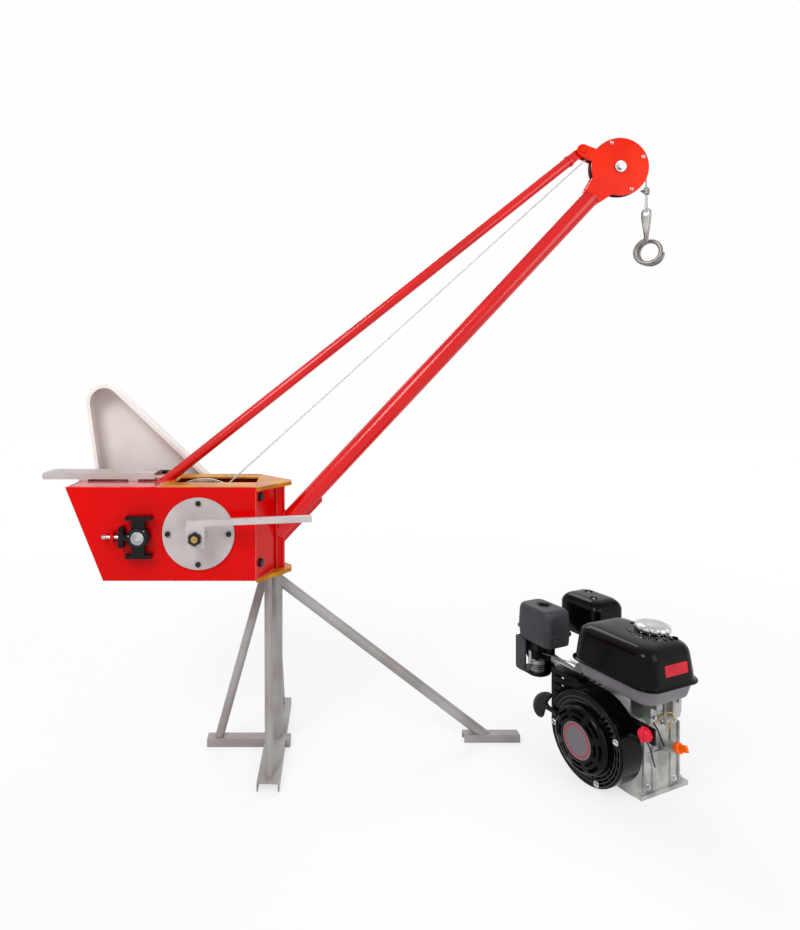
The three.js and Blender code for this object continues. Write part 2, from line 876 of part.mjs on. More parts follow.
function tie() {
  const back = (distance) => earEye.clone().addScaledVector(tieAlong, -distance);
  const past = Math.hypot(earX + tieFootX, earZ - boxTop) + 3 * tieRadius;
  const side = pipe(back(past), back(tieEyeNeck), tieRadius, tieWall);
  const collar = bar(back(tieEyeNeck + tieCollarLength), back(tieEyeNeck), tieCollarRadius, pipeSides);
  const eyeRound = rod(earX, earZ, -tieEyeThickness / 2, tieEyeThickness / 2, earRadius, pipeSides);
  const near = back(tieEyeNeck + tieCollarLength / 2);
  const acrossX = tieAlong.z * (tieRadius - tieWall / 2);
  const acrossZ = tieAlong.x * (tieRadius - tieWall / 2);
  const eyeNeck = standing(
    [
      [near.x + acrossX, near.z - acrossZ],
      [earX + acrossX, earZ - acrossZ],
      [earX - acrossX, earZ + acrossZ],
      [near.x - acrossX, near.z + acrossZ],
    ],
    -tieEyeThickness / 2,
    tieEyeThickness / 2,
  );
  const pinHole = hole(earX, earZ, -tieEyeThickness, tieEyeThickness, earPinRadius + gap);
  const belowBox = block(-reach, reach, -reach, reach, 0, boxTop + gap);
  return cut(join(side, collar, eyeNeck, eyeRound), pinHole, belowBox);
}

// One cheek of the head: a disc with a neck towards the boom and an ear for the tie's pin.
function cheek(y0, y1) {
  const neckEnd = boomEnd.clone().addScaledVector(boomAlong, boomCapThickness);
  const neckHalf = boomCapRadius;
  const flare = 1.5 * neckHalf;
  const flareAt = neckLength / 2;
  const beside = (point, half) => [point.x - half * boomAlong.z, point.z + half * boomAlong.x];
  const midNeck = at(headX, 0, headZ).addScaledVector(boomAlong, -flareAt);
  const neck = standing(
    [
      beside(neckEnd, -neckHalf),
      beside(midNeck, -flare),
      beside(at(headX, 0, headZ), -flare),
      beside(at(headX, 0, headZ), flare),
      beside(midNeck, flare),
      beside(neckEnd, neckHalf),
    ],
    y0,
    y1,
  );
  const ear = beltLine(headX, headZ, earRadius + cheekThickness, earX, earZ, earRadius, rodSides);
  const disc = rod(headX, headZ, y0, y1, cheekRadius, fineSides);
  return cut(
    join(disc, neck, standing(ear, y0, y1)),
    hole(headX, headZ, y0, y1, axleRadius + gap),
    hole(earX, earZ, y0, y1, earPinRadius + gap),
  );
}

const cheekBoltAngles = [109, 23, -63].map(THREE.MathUtils.degToRad);
const cheekInside = cheekGap / 2;
const cheekOutside = cheekInside + cheekThickness;

function cheekBolts() {
  return cheekBoltAngles.map((angle) => {
    const x = headX + cheekBoltCircle * Math.cos(angle);
    const z = headZ + cheekBoltCircle * Math.sin(angle);
    return rod(x, z, -cheekOutside - cheekBoltHead, -cheekInside, cheekBoltRadius, rodSides);
  });
}

function headAxle() {
  const washer = cheekOutside + gap + axleWasherHeight;
  const end = washer + axleNutHeight;
  const shank = rod(headX, headZ, -end, end, axleRadius);
  const ring = (side, near, far, radius, sides) =>
    rod(headX, headZ, Math.min(side * near, side * far), Math.max(side * near, side * far), radius, sides);
  const ends = [-1, 1].flatMap((side) => [
    ring(side, cheekOutside + gap, washer, axleWasherRadius, pipeSides),
    ring(side, washer, end - gap, axleNutRadius, 6),
  ]);
  return join(shank, ...ends);
}

function tiePin() {
  const inner = cheekOutside + gap;
  const outer = inner + pinHeadHeight;
  return join(
    rod(earX, earZ, -outer, outer, earPinRadius),
    rod(earX, earZ, -outer, -inner, pinHeadRadius, 6),
    rod(earX, earZ, inner, outer, pinHeadRadius, 6),
  );
}

function sheave() {
  const grooveRadius = ropeBed(ropeBendRadius);
  const rimInside = sheaveRimRadius - sheaveRimDepth;
  const hubHalf = cheekInside - turningGap;
  return turned(
    headX,
    headZ,
    [
      [axleRadius + turningGap, -hubHalf],
      [sheaveHubRadius, -hubHalf],
      [sheaveHubRadius, -sheaveWebHalf],
      [rimInside, -sheaveWebHalf],
      [rimInside, -sheaveRimHalf],
      [sheaveRimRadius, -sheaveRimHalf],
      [grooveRadius, -ropeRadius],
      [grooveRadius, ropeRadius],
      [sheaveRimRadius, sheaveRimHalf],
      [rimInside, sheaveRimHalf],
      [rimInside, sheaveWebHalf],
      [sheaveHubRadius, sheaveWebHalf],
      [sheaveHubRadius, hubHalf],
      [axleRadius + turningGap, hubHalf],
    ],
    fineSides,
  );
}

function addJib() {
  crane.add(
    mesh("boom", boom(), "redPaint"),
    mesh("tie", tie(), "redPaint"),
    mesh("head_front_cheek", join(cheek(-cheekOutside, -cheekInside), ...cheekBolts()), "orangePaint"),
    mesh("head_rear_cheek", cheek(cheekInside, cheekOutside), "orangePaint"),
    mesh("head_axle", headAxle(), "zinc"),
    mesh("tie_pin", tiePin(), "zinc"),
    mesh("sheave", sheave(), "blackIron"),
  );
}
addJib();

// Winch: fixed shaft, cover, drum, chain drive and clutch lever
const coverFront = boxHalfDepth + gap + coverThickness;

function drumShaft() {
  return join(
    rod(-drumX, drumZ, -shaftFront, shaftRear, shaftRadius),
    rod(-drumX, drumZ, -shaftFront + shaftNutHeight / 4, -shaftFront + shaftNutHeight, shaftNutRadius, 6),
    rod(-drumX, drumZ, boxHalfDepth + gap, shaftRear, shaftCollarRadius),
  );
}

function drumCover() {
  const bolts = [0, 1, 2, 3].map((quarter) => {
    const angle = (quarter * Math.PI) / 2;
    const x = -drumX + coverBoltCircle * Math.cos(angle);
    const z = drumZ + coverBoltCircle * Math.sin(angle);
    return rod(x, z, -coverFront - overrun, -boxHalfDepth, coverBoltRadius, rodSides);
  });
  const disc = rod(-drumX, drumZ, -coverFront, -boxHalfDepth - gap, coverRadius, fineSides);
  const boss = rod(-drumX, drumZ, -coverBossFront, -coverFront, coverBossRadius, pipeSides);
  const bore = hole(-drumX, drumZ, -coverBossFront, -boxHalfDepth, shaftRadius + turningGap);
  return cut(join(disc, boss), bore, ...bolts);
}

function drum() {
  const bore = shaftRadius + 2 * turningGap;
  const core = ropeBed(windRadius);
  const rearFlange = drumZoneRear;
  return turned(
    -drumX,
    drumZ,
    [
      [bore, -drumHubFront],
      [drumHubRadius, -drumHubFront],
      [drumHubRadius, -drumNearFlange - drumFlangeThickness],
      [drumFlangeRadius, -drumNearFlange - drumFlangeThickness],
      [drumFlangeRadius, -drumNearFlange],
      [core, -drumNearFlange],
      [core, rearFlange],
      [drumRearFlangeRadius, rearFlange],
      [drumRearFlangeRadius, rearFlange + drumFlangeThickness],
      [drumHubRadius, rearFlange + drumFlangeThickness],
      [drumHubRadius, drumHubRear],
      [bore, drumHubRear],
    ],
    fineSides,
  );
}

const drumZoneRear = windLoops * windPitch + ropeRadius + 2 * gap;
const sprocketRadius = (teeth) => chainPitch / (2 * Math.sin(Math.PI / teeth));

function sprocket(x, z, teeth, bore) {
  const radius = sprocketRadius(teeth);
  const outline = [];
  for (let tooth = 0; tooth < teeth; tooth++) {
    toothShares.forEach((share, i) => {
      const angle = (2 * Math.PI * (tooth + share)) / teeth;
      const r = i === 1 || i === 2 ? radius + toothTip : radius - toothRoot;
      outline.push([x + r * Math.cos(angle), z + r * Math.sin(angle)]);
    });
  }
  const front = -sprocketY - sprocketHalf;
  const back = -sprocketY + sprocketHalf;
  return standing(outline, front, back, [hole(x, z, front, back, bore, fineSides)]);
}

// The chain as one closed band over the tooth tips, with a row of link plates down each side.
function chain() {
  const big = sprocketRadius(drumTeeth);
  const small = sprocketRadius(inputTeeth);
  const line = (out) => beltLine(-drumX, drumZ, big + out, -inputX, inputZ, small + out, pipeSides);
  const layer = (inside, y0, y1) => {
    const middle = standing(line(inside), y0 - overrun, y1 + overrun);
    return standing(line(chainOutside), y0, y1, [middle]);
  };
  return join(
    layer(-chainPlateInside, -sprocketY - chainHalf, -sprocketY - chainPlateHalf),
    layer(chainInside, -sprocketY - chainPlateHalf, -sprocketY + chainPlateHalf),
    layer(-chainPlateInside, -sprocketY + chainPlateHalf, -sprocketY + chainHalf),
  );
}

function clutchLever() {
  const front = -shaftFront + shaftNutHeight + gap;
  const back = front + leverPlateThickness;
  const middleX = -drumX + (leverBarRight - leverBarLeft) / 2;
  const long = leverBarRight + leverBarLeft;
  const grip = new THREE.BoxGeometry(long, leverBar, leverBar);
  grip.rotateY(-leverTilt);
  grip.translate(middleX, front + leverBar / 2, drumZ + leverBarRise);
  const half = leverPlate / 2;
  const plate = block(-drumX - half, -drumX + half, front, back, drumZ - half, drumZ + leverPlateTop);
  const bore = hole(-drumX, drumZ, front, back, shaftRadius + turningGap);
  return cut(join(plate, solid(grip)), bore);
}

// Rope: wound on the drum, up to the sheave and over it
const ropeRise = Math.atan2(headZ - drumZ, headX + drumX);
const ropeSpan = Math.hypot(headZ - drumZ, headX + drumX);
const ropeTouch = ropeRise + Math.PI / 2 + Math.asin((ropeBendRadius - windRadius) / ropeSpan);

function windPoint(turn) {
  const angle = ropeTouch + turn;
  return at(
    -drumX + windRadius * Math.cos(angle),
    (windPitch * turn) / (2 * Math.PI),
    drumZ + windRadius * Math.sin(angle),
  );
}

// The outer layer, from the rope's take-off at the middle plane back to the far flange.
function windPath() {
  const path = [];
  const steps = windLoops * windSteps;
  for (let i = 0; i <= steps; i++) {
    path.push(windPoint((2 * Math.PI * i) / windSteps));
  }
  const lead = path[0].clone().sub(path[1]).normalize();
  const tail = path[steps].clone().sub(path[steps - 1]).normalize();
  path.unshift(path[0].clone().addScaledVector(lead, 2 * ropeRadius));
  path.push(path[path.length - 1].clone().addScaledVector(tail, 2 * ropeRadius));
  return path;
}

function leastGap(path, radius, apart) {
  let least = Infinity;
  for (let i = 0; i < path.length; i++) {
    for (let j = i + apart; j < path.length; j++) {
      least = Math.min(least, path[i].distanceTo(path[j]) - 2 * radius);
    }
  }
  return least;
}

const ropeAlong = at(Math.sin(ropeTouch), 0, -Math.cos(ropeTouch));
// The run begins where it clears the winding as that turns with the drum.
const ropeClear = Math.sqrt((windRadius + 2 * ropeRadius + gap) ** 2 - (windRadius - ropeRadius) ** 2);
const ropeOff = windPoint(0).addScaledVector(ropeAlong, ropeClear);
const ropeOn = at(
  headX + ropeBendRadius * Math.cos(ropeTouch),
  0,
  headZ + ropeBendRadius * Math.sin(ropeTouch),
);
const ropeX = headX + ropeBendRadius;
const runSteps = 40;
const arcSteps = 14;

function ropeRunPath() {
  const path = [];
  for (let i = 0; i < runSteps; i++) {
    path.push(ropeOff.clone().lerp(ropeOn, i / runSteps));
  }
  for (let i = 0; i <= arcSteps; i++) {
    const angle = ropeTouch * (1 - i / arcSteps);
    path.push(at(headX + ropeBendRadius * Math.cos(angle), 0, headZ + ropeBendRadius * Math.sin(angle)));
  }
  path.push(at(ropeX, 0, headZ - fallTop));
  return path;
}

const fallPath = [at(ropeX, 0, headZ - fallTop - gap), at(ropeX, 0, clipZ + gap)];

function addWinch() {
  const hub = drumHubRadius + gap;
  crane.add(
    mesh("drum_shaft", drumShaft(), "steel"),
    mesh("drum_cover", drumCover(), "greyPaint"),
    mesh("drum", drum(), "zinc"),
    mesh("drum_sprocket", sprocket(-drumX, drumZ, drumTeeth, hub), "steel"),
    mesh("chain", chain(), "blackIron"),
    mesh("clutch_lever", clutchLever(), "greyPaint"),
    mesh("rope_on_drum", tube(windPath(), ropeRadius, windSides), "rope"),
    mesh("rope_run", tube(ropeRunPath(), ropeRadius, 8), "rope"),
    mesh("rope_fall", tube(fallPath, ropeRadius, 8), "rope"),
  );
}
addWinch();
console.log("least gap between the drum's turns of rope", leastGap(windPath(), ropeRadius, windSteps / 2).toFixed(2));

// Input shaft with its sprocket and pulley, the take-up bearings and the tension screw
function inputShaft() {
  const cap = inputFront - inputCapHeight;
  return join(
    rod(-inputX, inputZ, -inputFront, inputRear, inputRadius),
    rod(-inputX, inputZ, -inputFront, -cap, inputCapRadius, pipeSides),
  );
}

function beltPulley() {
  const rimInside = pulleyRadius - pulleyRimDepth;
  const bore = inputRadius + gap;
  const groove = (middle) => [
    [pulleyRadius, middle - grooveHalf],
    [pulleyRadius - grooveDepth, middle - grooveHalf / 2],
    [pulleyRadius - grooveDepth, middle + grooveHalf / 2],
    [pulleyRadius, middle + grooveHalf],
  ];
  const section = [
    [bore, pulleyY - pulleyHalf],
    [pulleyHubRadius, pulleyY - pulleyHalf],
    [pulleyHubRadius, pulleyY - pulleyWebHalf],
    [rimInside, pulleyY - pulleyWebHalf],
    [rimInside, pulleyY - pulleyHalf],
    [pulleyRadius, pulleyY - pulleyHalf],
    ...groove(pulleyY - pulleyHalf / 2),
    ...groove(pulleyY + pulleyHalf / 2),
    [pulleyRadius, pulleyY + pulleyHalf],
    [rimInside, pulleyY + pulleyHalf],
    [rimInside, pulleyY + pulleyWebHalf],
    [pulleyHubRadius, pulleyY + pulleyWebHalf],
    [pulleyHubRadius, pulleyY + pulleyHalf],
    [bore, pulleyY + pulleyHalf],
  ];
  return turned(-inputX, inputZ, section, pipeSides);
}

// A cast housing with a rail arm above and below and a T-shaped nose for the screw.
function takeUp(y0, y1) {
  const hub = rod(-inputX, inputZ, y0, y1, takeUpHubRadius, pipeSides);
  const stem = block(-inputX - takeUpStemHalf, -inputX + takeUpStemHalf, y0, y1, inputZ - takeUpArm, inputZ + takeUpArm);
  const rails = [-1, 1].map((side) => {
    const edge = inputZ + side * takeUpArm;
    const inner = edge - side * takeUpRailHeight;
    return block(-inputX - takeUpRailHalf, -inputX + takeUpRailHalf, y0, y1, Math.min(edge, inner), Math.max(edge, inner));
  });
  const noseX = -inputX - takeUpNose;
  const nose = block(noseX, noseX + takeUpNoseThickness, y0, y1, inputZ - takeUpNoseHalf, inputZ + takeUpNoseHalf);
  const web = block(noseX, -inputX, y0, y1, inputZ - takeUpWebHalf, inputZ + takeUpWebHalf);
  const bore = hole(-inputX, inputZ, y0, y1, inputRadius + turningGap);
  return cut(join(hub, stem, ...rails, nose, web), bore);
}

const takeUpFrontY = -boxHalfDepth - gap - takeUpDepth;
const screwY = takeUpFrontY + takeUpDepth / 2;

function tensionScrew() {
  const tip = -inputX - takeUpNose - gap;
  const turn = (x) => at(x, screwY, inputZ);
  return join(
    bar(turn(-screwHeadX), turn(tip), screwRadius, rodSides),
    bar(turn(-screwHeadX), turn(-screwHeadX + screwHeadLength), screwHeadRadius, 6),
  );
}

function screwBracket() {
  const x1 = -bracketX + bracketThickness;
  const body = block(-bracketX, x1, takeUpFrontY, -boxHalfDepth - gap, inputZ - bracketHalf, inputZ + bracketHalf);
  return cut(body, bar(at(-bracketX - overrun, screwY, inputZ), at(x1 + overrun, screwY, inputZ), screwRadius + turningGap, rodSides));
}

function addDrive() {
  crane.add(
    mesh("input_shaft", inputShaft(), "zinc"),
    mesh("input_sprocket", sprocket(-inputX, inputZ, inputTeeth, inputRadius + gap), "steel"),
    mesh("belt_pulley", beltPulley(), "blackIron"),
    mesh("takeup_front", takeUp(takeUpFrontY, -boxHalfDepth - gap), "blackIron"),
    mesh("takeup_rear", takeUp(boxHalfDepth + gap, -takeUpFrontY), "blackIron"),
    mesh("tension_screw", tensionScrew(), "zinc"),
    mesh("screw_bracket", screwBracket(), "redPaint"),
  );
}
addDrive();

// Engine bed and belt guard
function engineBed() {
  const outside = block(-bedLeft, -bedRight, -bedNear, bedFar, bedBottom, bedTop);
  const hollow = block(-bedLeft - overrun, -bedRight + overrun, -bedNear + bedWall, bedFar - bedWall, bedBottom - overrun, bedTop - bedWall);
  const feet = bedFootXs.map((x) => block(-x - bedFootLength, -x, -bedNear, bedFar, boxTop + gap, bedBottom + bedWall));
  const slots = bedSlotXs.flatMap((x) =>
    [-bedNear + bedSlotInset, bedFar - bedSlotInset].map((y) =>
      block(-x, -x + bedSlotLength, y - bedSlotHalf, y + bedSlotHalf, bedTop - bedWall - overrun, bedTop + overrun),
    ),
  );
  return cut(join(cut(outside, hollow), ...feet), ...slots);
}

function beltGuard() {
  const line = (inset) =>
    beltLine(-inputX, inputZ, guardBigRadius - inset, -guardSmallX, guardSmallZ, guardSmallRadius - inset, pipeSides);
  const pocket = standing(line(guardSheet), guardFront + guardSheet, guardRear - guardSheet);
  const mouth = standing(line(guardLip), guardFront - overrun, guardRear - guardSheet);
  const pan = standing(line(0), guardFront, guardRear, [pocket, mouth]);
  const standOffs = standOffAngles.map((angle) => {
    const x = -inputX + standOffCircle * Math.cos(angle);
    const z = inputZ + standOffCircle * Math.sin(angle);
    return rod(x, z, boxHalfDepth + gap, guardRear - guardSheet / 2, standOffRadius, rodSides);
  });
  return join(pan, ...standOffs);
}

crane.add(mesh("engine_bed", engineBed(), "greyPaint"), mesh("belt_guard", beltGuard(), "greySheet"));

// Hook gear: clip, loop and pigtail hook, turned about the rope
const hookGear = new THREE.Group();
hookGear.position.set(ropeX, 0, 0);
hookGear.rotation.z = hookTurn;
crane.add(hookGear);

function ropeClip() {
  const body = block(-clipHalfWidth, clipHalfWidth, -clipHalfDepth, clipHalfDepth, clipZ - clipHeight, clipZ);
  const studs = [-1, 1].map((side) => {
    const x = side * (clipHalfWidth - clipStudRadius);
    const z = clipZ - clipHeight / 2;
    return rod(x, z, -clipHalfDepth, clipHalfDepth + clipStudReach, clipStudRadius, rodSides);
  });
  const tail = bar(at(loopTopHalf, 0, clipZ - ropeRadius), at(loopTopHalf, 0, clipZ + clipHeight / 2), ropeRadius, rodSides);
  return join(body, ...studs, tail);
}

// The loop's legs close in to the clip, and its round bottom is the hook's seat.
function loopPath() {
  const path = [];
  const top = clipZ - clipHeight - gap;
  const bendZ = hookSeatZ + loopHalf;
  const legSteps = 6;
  const bendSteps = 10;
  for (let i = 0; i < legSteps; i++) {
    const share = i / legSteps;
    path.push(at(-loopTopHalf - (loopHalf - loopTopHalf) * share, 0, top + (bendZ - top) * share));
  }
  for (let i = 0; i <= bendSteps; i++) {
    const angle = Math.PI + (Math.PI * i) / bendSteps;
    path.push(at(loopHalf * Math.cos(angle), 0, bendZ + loopHalf * Math.sin(angle)));
  }
  for (let i = legSteps - 1; i >= 0; i--) {
    const share = i / legSteps;
    path.push(at(loopTopHalf + (loopHalf - loopTopHalf) * share, 0, top + (bendZ - top) * share));
  }
  return path;
}

// The flat shank has a hole across the loop; the pigtail winds on below it.
function hook() {
  const holeZ = hookSeatZ - shankHole + ropeRadius + hookSeatGap;
  const topZ = holeZ + shankHole + shankRim;
  const ringZ = holeZ - shankLength - hookRingRadius;
  const outline = [
    [-shankTopHalf, holeZ],
    [-shankTopHalf, holeZ - shankHole - shankRim],
    [-shankLowHalf, holeZ - shankLength + hookBarRadius],
    [shankLowHalf, holeZ - shankLength + hookBarRadius],
    [shankTopHalf, holeZ - shankHole - shankRim],
    [shankTopHalf, holeZ],
    [shankHole, topZ],
    [-shankHole, topZ],
  ];
  const turn = new THREE.Matrix4().makeRotationZ(Math.PI / 2);
  const flat = new THREE.ExtrudeGeometry(shapeOf(outline), { depth: 2 * shankHalf, bevelEnabled: false });
  flat.rotateX(Math.PI / 2).translate(0, shankHalf, 0).applyMatrix4(turn);
  const seat = bar(at(-overrun, 0, holeZ), at(overrun, 0, holeZ), shankHole, smallSides);
  const path = [at(0, 0, ringZ + hookRingRadius + 2 * hookBarRadius)];
  const steps = hookTurns * hookSteps;
  for (let i = 0; i <= steps; i++) {
    const angle = (2 * Math.PI * i) / hookSteps;
    const along = hookPitch * (i / hookSteps);
    path.push(at(along, hookRingRadius * Math.sin(angle), ringZ + hookRingRadius * Math.cos(angle)));
  }
  return join(cut(solid(flat), seat), tube(path, hookBarRadius, 8));
}

hookGear.add(
  mesh("rope_clip", ropeClip(), "steel"),
  mesh("rope_loop", tube(loopPath(), ropeRadius, 8), "rope"),
  mesh("hook", hook(), "steel"),
);

// Petrol engine, in its own frame: X along its cylinder side, Y towards its output shaft
const engine = new THREE.Group();
engine.position.set(engineX, engineY, 0);
engine.rotation.z = engineYaw;
crane.add(engine);

function engineBlock() {
  const front = -shroudRear + gap;
  const middleX = (sumpRight - sumpLeft) / 2;
  const middleY = (sumpRear + front) / 2;
  const halfX = (sumpRight + sumpLeft) / 2;
  const halfY = (sumpRear - front) / 2;
  const ring = (z, inset) => roundedRing(middleX, middleY, halfX - inset, halfY - inset, sumpCorner - inset, z);
  const sump = lofted([ring(0, 0), ring(sumpTop - sumpCorner / 2, 0), ring(sumpTop, sumpCorner / 2)]);
  const feet = [-1, 1].map((side) => {
    const x = middleX + side * engineFootSpread;
    return block(x - engineFootWidth / 2, x + engineFootWidth / 2, -engineFootFront, engineFootRear, 0, engineFootHeight);
  });
  const boss = rod(0, crankZ, 0, bossRear, bossRadius, pipeSides);
  const place = new THREE.Matrix4().makeRotationY(-barrelLean).setPosition(0, middleY, crankZ);
  const slab = (half, start, thickness) => {
    const geometry = new THREE.BoxGeometry(2 * half, 2 * half, thickness);
    return solid(geometry.translate(0, 0, start + thickness / 2).applyMatrix4(place));
  };
  const headStart = barrelStart + finCount * finPitch;
  const cylinder = [slab(barrelHalf, 0, headStart + finThickness), slab(finHalf, headStart, headThickness)];
  for (let i = 0; i < finCount; i++) {
    cylinder.push(slab(finHalf, barrelStart + i * finPitch, finThickness));
  }
  const tankPost = block(tankPostLeft, tankPostRight, -tankPostFront, tankPostRear, sumpTop - overrun, tankBottom - gap);
  const exhaust = [
    bar(at(-exhaustX, middleY, exhaustZ), at(-exhaustX, exhaustY, exhaustZ), portRadius),
    bar(at(-exhaustX, exhaustY, exhaustZ - portRadius), at(-exhaustX, exhaustY, mufflerBottom - gap), portRadius),
  ];
  const intakeStart = at(-intakeHeadX, -intakeHeadY, intakeHeadZ);
  const intake = bar(intakeStart, at(-intakeCarbX, -intakeCarbY, intakeCarbZ), portRadius);
  const carbSpace = block(-carbLeft, -carbRight + gap, -carbFront, -carbRear + gap, 0, filterBottom);
  const oilBoss = bar(at(oilBossX, dipstickY, dipstickSeat(-dipstickX + oilBossX).z), dipstickSeat(-gap), oilBossRadius);
  const bearing = hole(0, crankZ, bossRear - crankSeat + overrun, bossRear, crankRadius + turningGap);
  const whole = join(sump, ...feet, boss, ...cylinder, tankPost, ...exhaust, intake, oilBoss);
  return cut(whole, bearing, carbSpace);
}

// A point along the dipstick's leaning axis, from where its cap meets the oil filler.
function dipstickSeat(distance) {
  return at(dipstickX + distance * Math.cos(dipstickLean), dipstickY, dipstickZ + distance * Math.sin(dipstickLean));
}

// A round shell open at the back, with a shoulder over the cylinder and a tab for the switch.
function fanShroud() {
  const round = (inset, y0, y1) => rod(0, crankZ, y0, y1, shroudRadius - inset, fineSides);
  const shoulder = (inset, y0, y1) =>
    block(-shoulderLeft + inset, -shoulderRight - inset, y0, y1, crankZ + inset, shoulderTop - inset);
  const corner = (inset, y0, y1) =>
    block(-shoulderRight - overrun - inset, 0, y0, y1, crankZ + inset, crankZ + shroudRadius - inset);
  const tab = block(
    0,
    switchX + switchTabHalf,
    -switchY,
    -switchY + switchTabThickness,
    switchZ - switchTabHalf,
    switchZ + switchTabHalf,
  );
  const outside = join(
    round(0, -shroudFront, -shroudRear),
    shoulder(0, -shoulderFront, -shroudRear),
    corner(0, -shoulderFront, -shroudRear),
    tab,
  );
  const slots = [];
  for (let i = 0; i < shoulderSlots; i++) {
    const x = -shoulderLeft + shoulderSlotInset;
    const z = shoulderTop - shoulderSlotInset - i * shoulderSlotPitch;
    const y = -shoulderFront - overrun;
    slots.push(block(x, x + shoulderSlotLength, y, -shroudRear, z - shoulderSlotHeight, z));
  }
  return cut(
    outside,
    round(shroudWall, -shroudFront + shroudWall, -shroudRear + overrun),
    shoulder(shroudWall, -shoulderFront + shroudWall, -shroudRear + overrun),
    corner(shroudWall, -shoulderFront + shroudWall, -shroudRear + overrun),
    rod(0, crankZ, -shroudFront - overrun, -shroudRear, shroudInlet, pipeSides),
    ...slots,
  );
}

// A vent slot bent round the crank's axis.
function slotCutter(radius, middle) {
  const points = [];
  const steps = 4;
  for (let i = 0; i <= steps; i++) {
    const angle = middle - slotSpan / 2 + (slotSpan * i) / steps;
    points.push([(radius + slotWidth) * Math.cos(angle), crankZ + (radius + slotWidth) * Math.sin(angle)]);
  }
  for (let i = steps; i >= 0; i--) {
    const angle = middle - slotSpan / 2 + (slotSpan * i) / steps;
    points.push([radius * Math.cos(angle), crankZ + radius * Math.sin(angle)]);
  }
  return standing(points, -recoilFront - overrun, -shroudFront);
}

function recoilCover() {
  const back = -shroudFront - gap;
  const crown = -recoilFront + recoilCrown;
  const side = -recoilFront + recoilSide;
  const shell = turned(
    0,
    crankZ,
    [
      [0, -recoilFront],
      [recoilFaceRadius, -recoilFront],
      [recoilRadius - recoilCrown, crown],
      [recoilRadius, side],
      [recoilRadius, back],
      [recoilRadius - recoilWall, back],
      [recoilRadius - recoilWall, side + recoilWall],
      [recoilRadius - recoilCrown - recoilWall, crown + recoilWall],
      [recoilFaceRadius - recoilWall, -recoilFront + recoilWall],
      [0, -recoilFront + recoilWall],
    ],
    pipeSides,
  );
  const slots = [];
  for (let i = 0; i < slotCount; i++) {
    const middle = (2 * Math.PI * i) / slotCount;
    slots.push(slotCutter(slotInnerRadius, middle), slotCutter(slotOuterRadius, middle));
  }
  return cut(shell, ...slots);
}

function starterGrip() {
  const pull = at(Math.cos(gripPull), 0, Math.sin(gripPull));
  const across = at(Math.cos(gripLean), 0, Math.sin(gripLean));
  const seat = at(-gripSeatX, -gripY, gripSeatZ);
  const middle = seat.clone().addScaledVector(pull, gripStem);
  const end = (side) => middle.clone().addScaledVector(across, side * gripHalf);
  return join(bar(seat, middle, gripStemRadius, rodSides), bar(end(-1), end(1), gripRadius, rodSides));
}

// A skin lofted over the tank's levels, a given depth below its outer surface.
function tankSkin(depth) {
  const x = (tankRight - tankLeft) / 2;
  const y = (tankRear - tankFront) / 2;
  const halfX = (tankRight + tankLeft) / 2 - depth;
  const halfY = (tankRear + tankFront) / 2 - depth;
  const ring = (z, inset, corner) => roundedRing(x, y, halfX - inset, halfY - inset, corner, z);
  return lofted([
    ring(tankBottom + depth, tankTaper + tankLip, tankCorner - tankTaper),
    ring(tankSeam, tankLip, tankCorner),
    ring(tankShoulder, tankLip + tankTaper, tankCorner),
    ring((tankShoulder + tankTop) / 2 - depth / 2, tankLip + tankTaper + tankCrown / 4, tankCorner),
    ring(tankTop - depth, tankLip + tankTaper + tankCrown, tankCorner - tankTaper),
  ]);
}

// Hollow, with a lip round its seam and an open filler neck.
function fuelTank() {
  const x = (tankRight - tankLeft) / 2;
  const y = (tankRear - tankFront) / 2;
  const lipRing = (z) =>
    roundedRing(x, y, (tankRight + tankLeft) / 2, (tankRear + tankFront) / 2, tankCorner + tankLip, z);
  const lip = lofted([lipRing(tankSeam - tankLipHeight / 2), lipRing(tankSeam + tankLipHeight / 2)]);
  const neck = bar(at(capX, capY, tankShoulder), at(capX, capY, tankTop + neckHeight), neckRadius, pipeSides);
  const mouth = bar(at(capX, capY, tankShoulder - overrun), at(capX, capY, tankTop + overrun), mouthRadius, pipeSides);
  return cut(join(tankSkin(0), lip, neck), tankSkin(tankWall), mouth);
}

function tankCap() {
  const z0 = tankTop + gap;
  const cap = bar(at(capX, capY, z0), at(capX, capY, z0 + capHeight), capRadius, pipeSides);
  const top = tankTop + neckHeight + gap;
  const inside = bar(at(capX, capY, z0 - overrun), at(capX, capY, top), neckRadius + turningGap, pipeSides);
  return cut(cap, inside);
}

// A moulded box with rounded corners: narrower at its foot, and crowned on top.
function mouldedBox(left, right, front, rear, bottom, top, corner, crown) {
  const ring = (z, inset) =>
    roundedRing((left + right) / 2, (front + rear) / 2, (right - left) / 2 - inset, (rear - front) / 2 - inset, corner, z);
  return lofted([
    ring(bottom, crown / 2),
    ring(bottom + (top - bottom) / 4, 0),
    ring(top - crown, 0),
    ring(top - crown / 4, crown / 2),
    ring(top, crown),
  ]);
}

function airFilter() {
  const y0 = -filterFront;
  const body = mouldedBox(-filterLeft, -filterRight, y0, -filterRear, filterBottom, filterTop, filterCorner, filterCrown);
  const x = -(filterLeft + filterRight) / 2;
  const y = -(filterFront + filterRear) / 2;
  const knob = bar(at(x, y, filterTop - filterCrown), at(x, y, filterTop + filterKnobHeight), filterKnobRadius, rodSides);
  return join(body, knob);
}

